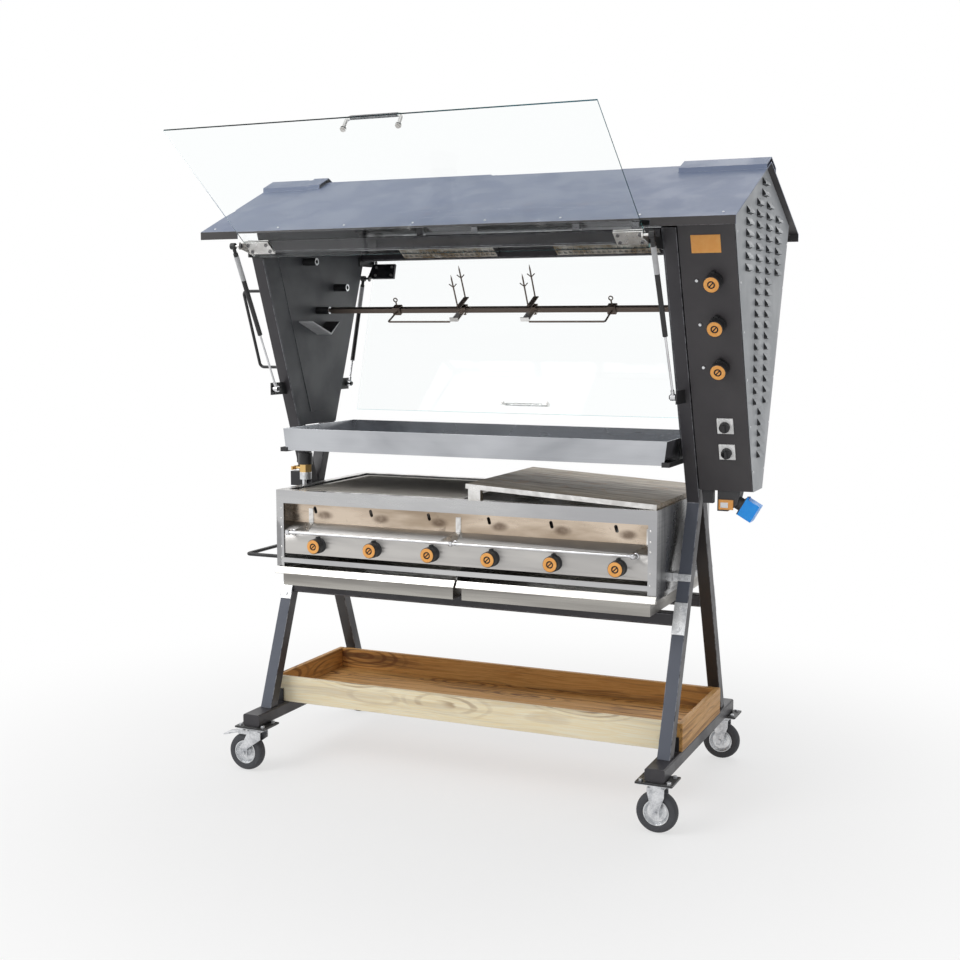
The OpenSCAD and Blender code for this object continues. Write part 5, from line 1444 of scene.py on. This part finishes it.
    def lay_louvres(self) -> None:
        """Sets a pressed louvre at every place, with its end pieces and a thin strip under its blade painted
        dark as shade.
        """
        top, out, half = self.louvre_h / 2, self.louvre_out, self.louvre_w / 2
        across = Matrix(((1, 0, 0, 0), (0, 0, 1, 0), (0, 1, 0, 0), (0, 0, 0, 1)))
        blade, shade_sheets = Shape(across), Shape(across)
        blade.prism([(0, top), (0, top - 2 * self.skin), (out - self.skin, -top), (out, -top),
                     (out, -top / 2)], -half, half)
        # Both end pieces of the louvre are painted dark as shade.
        for y in (-half - 0.3, half - self.skin + 0.3):
            shade_sheets.prism([(0, top - 0.5), (0, -top), (out - 0.2, -top), (out - 0.2, -top / 2)],
                         y, y + self.skin)
        # A thin dark strip under the blade, put where the slot shows only shade.
        shade_sheets.prism([(0.05, -top - 3), (0.3, -top - 3), (0.3, -top), (0.05, -top)], -half, half)
        places = [moved(self.casing_x, (k - (count - 1) / 2) * self.step, self.top - i * self.pitch)
                  for i, count in enumerate(self.rows) for k in range(count)]
        for name, unit, coat in (("casing_louvres", blade, Look.CASING),
                                 ("louvre_cheeks", shade_sheets, Look.CHEEK)):
            laid = Repeater.lay(name, unit_of(unit, name + "_unit"), places, coat)
            settle(laid, "frame", "casing_paint")

    def lay_screws(self) -> None:
        """Sets small pan head screws along the eaves and the casing's edges."""
        head = Shape()
        head.lathe([(3.6, 0), (3.6, 0.8), (2.6, 2.0), (0, 2.4)], 10)
        slope = math.degrees(math.atan2(CART.ridge_z - CART.eave_z, CART.eave_y))
        along = CART.roof_right + CART.roof_left - 2 * self.screw_inset
        places = []
        for side in (-1, 1):
            for k in range(8):
                x = -CART.roof_left + self.screw_inset + k * along / 7
                y = side * (CART.eave_y - self.screw_edge[0])
                places.append(moved(x, y, CART.roof_top(y)) @ turned(-side * slope, "X"))
            for k in range(6):
                z = self.screw_steps[0] + k * self.screw_steps[1]
                y = side * (CART.face_y(z) - self.screw_edge[1])
                places.append(moved(self.casing_x, y, z) @ turned(90, "Y"))
        settle(Repeater.lay("roof_screws", unit_of(head, "screw_unit"), places, Look.ZINC), "frame", "zinc")


@dataclass
class Controls:
    """Knobs, switches, studs and the bare plate.

    Attributes:
        plate_above: The bare plate is above this height.
        switch_below: The switches are below this one.
        stud_left: The studs are this far to the left of the knobs, or further.
    """

    knob: float = 48
    height: float = 26
    bezel: float = 16
    gap: float = 0.4
    bore: float = 4.1
    bore_end: float = 13.6
    face: float = 11.5
    notches: int = 9
    hood_x: float = 802
    hood_z: float = 1343
    hood_pitch: float = 123
    plate_above: float = 1640
    switch_below: float = 1230
    stud_left: float = 35

    def build(self) -> None:
        """Makes the knobs and dresses what they sit on."""
        dressed("panel_fittings", "black_plastic", (Look.KNOB, Look.AMBER, Look.PLATE, Look.ZINC),
                self.fitting_zone, 0.8)
        for i in range(6):
            self.make_dial(f"burner_knob_{i + 1}", CART.on_fascia(i))
        for i in range(3):
            place = CART.on_panel(self.hood_x, self.hood_z + i * self.hood_pitch)
            self.make_dial(f"hood_knob_{i + 1}", place)
        for i in range(2):
            dressed(f"switch_knob_{i + 1}", "black_plastic", (Look.KNOB,), edge=0.8)

    def fitting_zone(self, middle: Vector, normal: Vector) -> int:
        """Says what of the panel's fittings a face belongs to.

        Args:
            middle: Middle of a face, in drawing millimetres.
            normal: Its normal.

        Returns:
            The place of its finish among the piece's looks.
        """
        if middle.z > self.plate_above:
            return 1
        if middle.z < self.switch_below:
            return 2
        return 3 if middle.x < self.hood_x - self.stud_left else 0

    def make_dial(self, name: str, place: Matrix) -> None:
        """Makes one dial knob.

        Args:
            name: The CAD node that it stands for.
            place: Its spindle's place, with Z pointing out.
        """
        seat = place @ moved(0, 0, self.bezel + self.gap)
        shape = Shape(seat)
        r, h, bore, face = self.knob / 2, self.height, self.bore, self.face
        shape.ring([(bore, 0), (r - 1, 0), (r, 1.2), (r, h - 5), (r - 1.4, h - 3.2), (r - 3, h - 2.4),
                    (face, h - 2.4), (face, h - 3.6), (bore, h - 3.6)])
        shape.lathe([(bore, self.bore_end), (bore, h - 3.7), (3, h - 3.65), (0, h - 3.65)], 24)
        shape.paint = 1
        shape.ring([(face - 0.1, h - 2.6), (r - 2.4, h - 2.6), (r - 2, h - 1.4), (r - 3.2, h - 0.2),
                    (face + 0.7, h), (face - 0.1, h - 0.8)])
        reach = face - 3.9
        arc = [(math.cos(math.radians(a)) * reach, math.sin(math.radians(a)) * reach - 0.6)
               for a in range(20, 161, 20)]
        for angle in (225, 45):
            shape.at = seat @ turned(angle, "Z") @ moved(0, 0, h - 4)
            shape.prism(arc, 0, 3.4)
        shape.paint = 0
        for k in range(self.notches):
            shape.at = seat @ turned(k * 360 / self.notches, "Z")
            shape.block((face - 2.9, -1.2, h - 3.8), (face, 1.2, h - 1.4))
        made = shape.done(name + "_built", (Look.KNOB, Look.AMBER))
        settle(soften(made, 0.25, 40), name, "black_plastic", name)


@dataclass
class Inlet:
    """The mains inlet with its blue cap and a rocker with a pale key."""

    rocker_y: float = -55.4
    key_low: Point = (773, -62.2, 917)
    key_high: Point = (796, -59.8, 933)

    def build(self) -> None:
        """Dresses housing and cap, and makes the key."""
        dressed("inlet_housing", "black_plastic", (Look.HOUSING, Look.AMBER),
                lambda c, n: int(c.y < self.rocker_y), 1.5)
        shape = Shape()
        shape.block(self.key_low, self.key_high)
        settle(soften(shape.done("rocker_key", (Look.PLATE,)), 0.6), "frame", "black_plastic")
        dressed("inlet_cap", "blue_plastic", (Look.BLUE,), edge=3.0)


@dataclass
class Firebox:
    """Stainless firebox with shield, fascia, bar, burners, drawers and drip tray.

    Attributes:
        strap_top: Above it, the shield's own metal isn't tinted.
        burner_front: Before it, the burners' fittings are brass.
        skirt_low: Above it, the griddle's front and left lips are bright.
        flare: How much wider a strap's foot is at the fascia, to the left and to the right.
    """

    slot_first: float = -527.5
    slot_pitch: float = 207
    smudge_right: float = 36
    smudge_z: float = 846
    shield_y: float = 250
    shield_z: float = 820
    fascia_top: float = 795
    strap_x: tuple[float, ...] = (-542, -10, 610)
    strap_w: float = 16
    strap_t: float = 1.2
    strap_top: float = 921
    flare: tuple[float, float] = (3, 34)
    burner_front: float = -258
    skirt_low: float = 930
    flange: float = 19
    rivet_z: tuple[float, ...] = (706, 742, 806, 836, 868)

    def build(self) -> None:
        """Dresses the sheet metal."""
        dressed("firebox", "stainless", (Look.STEEL, Look.WALL, Look.HINGE), self.box_zone, 0.0)
        dressed("slot_shield", "heat_tint", (Look.TINTED, Look.HINGE),
                lambda c, n: int(c.y < -self.shield_y - 0.5 or c.z > self.strap_top), 0.0)
        dressed("fascia", "stainless", (Look.FASCIA, Look.KNOB),
                lambda c, n: int(c.y < -CART.fascia_y - 0.3), 0.0)
        dressed("front_bar", "stainless", (Look.CHROME,), edge=0.0)
        dressed("burner_set", "stainless", (Look.TUBE, Look.BRASS),
                lambda c, n: int(c.y < self.burner_front), 0.0)
        for side in ("left", "right"):
            # Faces that look up get the copy painted as highlight, the others the copy painted as shade.
            dressed(f"{side}_drawer", "stainless", (Look.LIP_FACE, Look.LIP),
                    lambda c, n: int(n.z > 0.3), 0.5)
        dressed("drip_tray", "stainless", (Look.TRAY,))
        dressed("griddle_plate", "grate_steel", (Look.GRIDDLE, Look.HINGE),
                lambda c, n: int(min(n.x, n.y) < -0.8 and c.z > self.skirt_low), 1.2)
        self.make_feet()
        self.lay_rivets()

    @staticmethod
    def box_zone(middle: Vector, normal: Vector) -> int:
        """Bright top flanges, plain fronts, and end walls with upright brush lines and dark patches painted
        as shade.
        """
        return 2 if normal.z > 0.8 else int(abs(normal.x) > 0.8)

    def make_feet(self) -> None:
        """Makes the flared feet of the straps on the sloping top of the fascia."""
        shape = Shape()
        drop, out = self.shield_z - self.fascia_top, CART.fascia_y - self.shield_y
        length, half = math.hypot(drop, out), self.strap_w / 2
        c, d = out / length, drop / length
        for x in self.strap_x:
            shape.at = Matrix(((-1, 0, 0, x), (0, -c, -d, -self.shield_y), (0, -d, c, self.shield_z + 0.2),
                               (0, 0, 0, 1)))
            shape.prism([(-half, 0), (half, 0), (half + self.flare[1], length - 2),
                         (-half - self.flare[0], length - 2)], 0, self.strap_t)
        settle(soften(shape.done("strap_feet", (Look.HINGE,))), "frame", "stainless")

    def lay_rivets(self) -> None:
        """Sets rivets on the front flanges of the firebox."""
        head = Shape()
        head.lathe([(3.2, 0), (2.8, 1.0), (1.6, 1.7), (0, 2.0)], 10)
        x = CART.box_half - self.flange
        places = [moved(side * x, -CART.box_y, z) @ turned(90, "X") for side in (-1, 1) for z in self.rivet_z]
        made = Repeater.lay("flange_rivets", unit_of(head, "rivet_unit"), places, Look.HINGE)
        settle(made, "frame", "stainless")


@dataclass
class MeshGrate:
    """The grate of expanded metal in a flat frame.

    A Geometry Nodes tree lays diamonds on two crossed grids.
    """

    left: float = -597
    right: float = 3
    half_depth: float = 235
    frame_w: float = 14
    low: float = 922.4
    thick: float = 4
    cell_x: float = 14.3
    cell_y: float = 7.37
    strand: float = 1.5
    stiff_half: float = 3
    stiff_t: float = 1.4
    net_up: float = 2.4

    @staticmethod
    def tree() -> bpy.types.NodeTree:
        """Builds the tree of the diamonds.

        Returns:
            The tree.
        """
        made = new_tree("diamond_mesh", "GeometryNodeTree", (
            ("Empty", GEOMETRY), ("Length", FLOAT), ("Depth", FLOAT), ("Columns", "NodeSocketInt"),
            ("Rows", "NodeSocketInt"), ("Strand", FLOAT), ("Middle", VECTOR),
            ("Finish", "NodeSocketMaterial")), (("Mesh", GEOMETRY),))
        g = Graph(made)
        takes = g.add("NodeGroupInput").outputs
        cell_x = g.math("DIVIDE", takes["Length"], takes["Columns"])
        cell_y = g.math("DIVIDE", takes["Depth"], takes["Rows"])
        points = g.add("GeometryNodeJoinGeometry")
        for less in (0.0, 1.0):
            across = g.math("SUBTRACT", takes["Columns"], less)
            down = g.math("SUBTRACT", takes["Rows"], less)
            size_x = g.math("MULTIPLY", g.math("SUBTRACT", across, 1.0), cell_x)
            size_y = g.math("MULTIPLY", g.math("SUBTRACT", down, 1.0), cell_y)
            g.plug(points, {0: g.add("GeometryNodeMeshGrid", {
                "Size X": size_x, "Size Y": size_y, "Vertices X": across, "Vertices Y": down}).outputs[0]})
        half_y = g.math("MULTIPLY", cell_y, 0.5)
        diamond = g.add("GeometryNodeCurvePrimitiveQuadrilateral",
                        {"Width": cell_x, "Bottom Height": half_y, "Top Height": half_y}, mode="KITE")
        section = g.add("GeometryNodeCurvePrimitiveQuadrilateral",
                        {"Width": takes["Strand"], "Height": takes["Strand"]}, mode="RECTANGLE")
        link = g.add("GeometryNodeCurveToMesh", {"Curve": diamond.outputs[0],
                                                 "Profile Curve": section.outputs[0]})
        laid = g.add("GeometryNodeInstanceOnPoints", {"Points": points.outputs[0],
                                                      "Instance": link.outputs[0]})
        real = g.add("GeometryNodeRealizeInstances", {0: laid.outputs[0]})
        put_down = g.add("GeometryNodeTransform", {"Geometry": real.outputs[0],
                                                   "Translation": takes["Middle"]})
        coat = g.add("GeometryNodeSetMaterial", {"Geometry": put_down.outputs[0],
                                                 "Material": takes["Finish"]})
        g.add("NodeGroupOutput", {0: coat.outputs[0]})
        return made

    def build(self) -> None:
        """Makes the frame, three flat stiffeners and the mesh."""
        length, depth = self.right - self.left - 2 * self.frame_w, 2 * (self.half_depth - self.frame_w)
        shape = Shape()
        z0, z1, y, inner = self.low, self.low + self.thick, self.half_depth, self.half_depth - self.frame_w
        for low, high in ((-y, -inner), (inner, y)):
            shape.block((self.left, low, z0), (self.right, high, z1))
        for x in (self.left, self.right - self.frame_w):
            shape.block((x, -inner, z0), (x + self.frame_w, inner, z1))
        for k in (1, 2, 3):
            x = self.left + k * (self.right - self.left) / 4
            shape.block((x - self.stiff_half, -inner, z0), (x + self.stiff_half, inner, z0 + self.stiff_t))
        rim = soften(shape.done("mesh_rim", (Look.GRATE,)), 0.6)
        settle(rim, "mesh_grate", "grate_steel", "mesh_grate")
        middle = SITE.into_row() @ Vector(((self.left + self.right) / 2, 0, z0 + self.net_up))
        net = grown("mesh_net", bpy.data.meshes.new("mesh_net"), self.tree(), {
            "Length": length * MM, "Depth": depth * MM, "Columns": round(length / self.cell_x),
            "Rows": round(depth / self.cell_y), "Strand": self.strand * MM, "Middle": tuple(middle),
            "Finish": Look.GRATE.value.material()})
        settle(net, "mesh_grate", "grate_steel", "mesh_grate")


@dataclass
class SpitGear:
    """Spit bar, forks and clamps.

    Attributes:
        tongue: How far a fork's tongue hangs down at least, its half width and its reach along the bar.
    """

    z: float = 1515
    turn: float = 28
    fork_x: tuple[float, float] = (-108, 138)
    tongue: tuple[float, float, float] = (14, 14, 15)

    def build(self) -> None:
        """Dresses bar and forks."""
        dressed("spit_bar", "spit_steel", (Look.SPIT,), edge=0.8)
        dressed("spit_forks", "spit_steel", (Look.SPIT, Look.HINGE), self.tongue_zone, 0.4)

    def tongue_zone(self, middle: Vector, normal: Vector) -> int:
        """Bright tongues on the forks.

        Args:
            middle: Middle of a face, in drawing millimetres.
            normal: Its normal.

        Returns:
            The place of its finish among the piece's looks.
        """
        local = (moved(0, 0, self.z) @ turned(self.turn, "X")).inverted() @ middle
        down, half, along = self.tongue
        return int(local.y < -down and abs(local.z) < half
                   and min(abs(middle.x - x) for x in self.fork_x) < along)


@dataclass
class GasLine:
    """Regulator, valve and lever.

    Attributes:
        box_x: The black box is to the left of this place.
        box_z: And between these heights.
        brass_z: The brass body is between these heights, and the black neck is above it.
    """

    box_x: float = -677.5
    box_z: tuple[float, float] = (917.5, 967.5)
    brass_z: tuple[float, float] = (965, 1000)

    def build(self) -> None:
        """Dresses the regulator and its lever."""
        dressed("gas_regulator", "zinc", (Look.ZINC, Look.BRASS, Look.BLACK), self.zone, 0.8)
        dressed("valve_lever", "brass", (Look.BRASS,), edge=1.0)

    def zone(self, middle: Vector, normal: Vector) -> int:
        """Brass valve body between zinc ends, with a black box and neck.

        Args:
            middle: Middle of a face, in drawing millimetres.
            normal: Its normal.

        Returns:
            The place of its finish among the piece's looks.
        """
        low, high = self.brass_z
        in_box = middle.x < self.box_x and self.box_z[0] < middle.z < self.box_z[1]
        return 2 if in_box or middle.z > high else int(low < middle.z < high)


@dataclass
class Doors:
    """Two glass doors with their hinge plates and handles.

    Attributes:
        pane_z: Height of the pane's middle over the hinge's own axis.
        plate_top: Height of the hinge plates' faces over the pane's middle.
        plate_x: The bolts stand between these distances from the middle.
        front_handle: Half the length of the front handle's dark bar.
        rear_handle: Half the length of the rear handle.
    """

    pane_z: float = 11.0
    plate_top: float = 5.7
    plate_x: tuple[float, float] = (560, 645.5)
    front_handle: float = 72
    rear_handle: float = 150

    def build(self) -> None:
        """Dresses panes and fittings."""
        dressed("front_glass", "glass", (Look.FRONT_GLASS,), edge=0.0)
        dressed("rear_glass", "glass", (Look.REAR_GLASS,), edge=0.0)
        dressed("front_fittings", "stainless", (Look.HINGE, Look.BOLT), self.front_zone, 0.4)
        dressed("rear_fittings", "stainless", (Look.DARK_HINGE, Look.HINGE), self.rear_zone, 0.4)

    def bolted(self, middle: Vector, angle: float) -> bool:
        """Says whether a place is on a bolt head of a door that is open by an angle.

        Args:
            middle: The place, in drawing millimetres.
            angle: The pane's angle about X, in degrees.

        Returns:
            Whether it is on a bolt head.
        """
        hinge = moved(0, -CART.hinge_y, CART.hinge_z) @ turned(angle, "X")
        up = (hinge.inverted() @ middle).z
        return self.plate_x[0] < abs(middle.x) < self.plate_x[1] and abs(up - self.pane_z) > self.plate_top

    def front_zone(self, middle: Vector, normal: Vector) -> int:
        """Darker bolt heads and handle bar, told from the plates by their height over the pane."""
        return int(self.bolted(middle, CART.open_angle) or abs(middle.x) < self.front_handle)

    def rear_zone(self, middle: Vector, normal: Vector) -> int:
        """Bright handle and bolt heads on the dark rear plates."""
        mirrored = Vector((middle.x, -middle.y, middle.z))
        return int(abs(middle.x) < self.rear_handle or self.bolted(mirrored, CART.open_angle + CART.swing))


@dataclass
class Struts:
    """Four gas struts.

    Attributes:
        foot: Across and up to the lower pivots.
        open_top: Across and up to the upper pivots of the open door.
        shut_top: Across and up to those of the closed door.
        label: Where the label starts and ends on the cylinder, from its top.
        sleeve: Inner and outer radius of the label.
    """

    x: float = 673.5
    foot: tuple[float, float] = (-244, 1256)
    open_top: tuple[float, float] = (-477.36, 1707.59)
    shut_top: tuple[float, float] = (-356.19, 1634.21)
    label: tuple[float, float] = (34, 116)
    sleeve: tuple[float, float] = (7.55, 7.85)

    def build(self) -> None:
        """Dresses cylinders and rods, and puts a bare label on each cylinder."""
        inner, outer = self.sleeve
        top, low = self.label
        for side, pivot in (("front", self.open_top), ("rear", self.shut_top)):
            way = Vector((pivot[0] - self.foot[0], pivot[1] - self.foot[1]))
            lean = math.degrees(math.atan2(-way.x, way.y))
            mirror = Matrix.Diagonal((1, -1 if side == "rear" else 1, 1, 1))
            shape = Shape()
            for x in (-self.x, self.x):
                shape.at = mirror @ moved(x, *self.foot) @ turned(lean, "X") @ moved(0, 0, way.length)
                shape.ring([(inner, -low), (outer, -low), (outer, -top), (inner, -top)])
            made = shape.done(f"{side}_strut_labels", (Look.LABEL,))
            settle(soften(made), f"{side}_strut_cylinders", "black_paint")
            dressed(f"{side}_cylinders", "black_paint", (Look.BLACK,), edge=0.5)
            dressed(f"{side}_rods", "chrome", (Look.CHROME,), edge=0.3)


@dataclass
class Studio:
    """Floor, light and camera.

    Attributes:
        camera: The camera's place in drawing millimetres.
        heading: Its turn to the left of the back, in radians.
        dip: Its dip under the horizon, in radians.
        lens: Its focal length on a 36 mm sensor.
        sky: Share of the white surrounding that lights what doesn't shine.
        right_share: Share of it on the right, where the photograph is darker.
        sensor: Width of the sensor in millimetres.
        far: How far the camera sees, in metres.
        side_fade: Where that darker side begins and is full, from -1 on the left to 1 on the right.
        floor_half: Half the floor's width in metres.
        floor_grey: Its colour.
        shadow_kept: Share of the shadow that it keeps under the cart.
        shadow_fade: Distances over which that share fades to nothing, in metres.
        target: What the lamps look at, in metres.
        lamps: Name, place in metres, width and power of each lamp.
    """

    camera: tuple[float, float, float] = (1772.1, -4095.3, 1460.3)
    heading: float = 0.41817
    dip: float = 0.1118
    lens: float = 51.29
    sky: float = 0.66
    right_share: float = 0.42
    sensor: float = 36.0
    far: float = 100.0
    side_fade: tuple[float, float] = (0.05, 0.85)
    floor_half: float = 14.0
    floor_grey: float = 0.82
    shadow_kept: float = 0.38
    shadow_fade: tuple[float, float] = (0.6, 2.6)
    target: Point = (0, 0, 1.1)
    lamps: tuple[tuple[str, Point, float, float], ...] = (
        ("key_lamp", (-2.6, -3.4, 4.2), 2.6, 95.0),
        ("side_lamp", (4.2, -1.0, 2.6), 2.2, 12.0),
        ("back_lamp", (0.5, 4.0, 3.6), 2.6, 36.0),
    )

    def build(self) -> None:
        """Sets the scene."""
        self.make_camera()
        self.make_world()
        self.make_floor()
        for name, place, size, power in self.lamps:
            self.make_lamp(name, place, size, power)
        bpy.context.scene.view_settings.view_transform = "Standard"

    def make_camera(self) -> None:
        """Makes the camera at the photograph's place."""
        data = bpy.data.cameras.new("camera")
        data.lens, data.sensor_width, data.clip_end = self.lens, self.sensor, self.far
        made = put("camera", data)
        made.location = SITE.into_row() @ Vector(self.camera)
        made.rotation_euler = (math.pi / 2 - self.dip, 0.0, self.heading)
        bpy.context.scene.camera = made

    def make_world(self) -> None:
        """Makes a white surrounding for the camera and for reflections, and an even sky for the rest."""
        world = bpy.data.worlds.new("studio")
        world.use_nodes = True
        world.node_tree.nodes.clear()
        g = Graph(world.node_tree)
        rays = g.add("ShaderNodeLightPath")
        seen = g.math("MAXIMUM", rays.outputs["Is Camera Ray"], rays.outputs["Is Transmission Ray"])
        way = g.part(g.add("ShaderNodeTexCoord").outputs["Generated"], 0)
        side = g.between(way, *self.side_fade, 1.0, self.right_share)
        share = g.math("MULTIPLY_ADD", rays.outputs["Is Glossy Ray"], 1.0 - self.sky, self.sky)
        level = g.math("MAXIMUM", seen, g.math("MULTIPLY", side, share))
        back = g.add("ShaderNodeBackground", {"Color": (1, 1, 1, 1), "Strength": level})
        g.add("ShaderNodeOutputWorld", {"Surface": back.outputs[0]})
        bpy.context.scene.world = world

    def make_floor(self) -> None:
        """Makes a pale floor that keeps a soft shadow and is white away from the cart."""
        material = bpy.data.materials.new("floor_white")
        material.use_nodes = True
        material.node_tree.nodes.clear()
        g = Graph(material.node_tree)
        diffuse = g.add("ShaderNodeBsdfDiffuse", {"Color": (*[self.floor_grey] * 3, 1)})
        white = g.add("ShaderNodeEmission", {"Color": (1, 1, 1, 1), "Strength": 1.0})
        rays = g.add("ShaderNodeLightPath")
        direct = g.math("MAXIMUM", rays.outputs["Is Camera Ray"], rays.outputs["Is Glossy Ray"])
        seen = g.math("MAXIMUM", direct, rays.outputs["Is Transmission Ray"])
        away = g.vector("LENGTH", g.place()).outputs["Value"]
        share = g.math("MULTIPLY", seen, g.between(away, *self.shadow_fade, 1.0 - self.shadow_kept, 1.0))
        mixed = g.add("ShaderNodeMixShader", {0: share, 1: diffuse.outputs[0], 2: white.outputs[0]})
        g.add("ShaderNodeOutputMaterial", {"Surface": mixed.outputs[0]})
        half = self.floor_half
        mesh = bpy.data.meshes.new("floor")
        mesh.from_pydata([(-half, -half, 0), (half, -half, 0), (half, half, 0), (-half, half, 0)], [],
                         [(0, 1, 2, 3)])
        mesh.materials.append(material)
        put("floor", mesh)

    def make_lamp(self, name: str, place: Point, size: float, power: float) -> None:
        """Makes a square soft lamp that looks at the cart.

        Args:
            name: Its name.
            place: Its place in metres.
            size: Its width in metres.
            power: Its power in watts.
        """
        data = bpy.data.lights.new(name, "AREA")
        data.shape, data.size, data.energy = "SQUARE", size, power
        made = put(name, data)
        made.location = place
        made.rotation_euler = (Vector(self.target) - Vector(place)).to_track_quat("-Z", "Y").to_euler()
        made.visible_camera = False


def main() -> None:
    """Builds the cart's pieces and the studio."""
    logging.basicConfig(level=logging.INFO, format="%(name)s: %(message)s")
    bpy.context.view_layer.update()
    Studio().build()
    for part in (Undercarriage(), WoodTray(), Casters(), Hood(), Controls(), Inlet(), Firebox(), MeshGrate(),
                 SpitGear(), GasLine(), Doors(), Struts()):
        part.build()
        log.info("built %s", type(part).__name__)


if __name__ == "__main__":
    main()
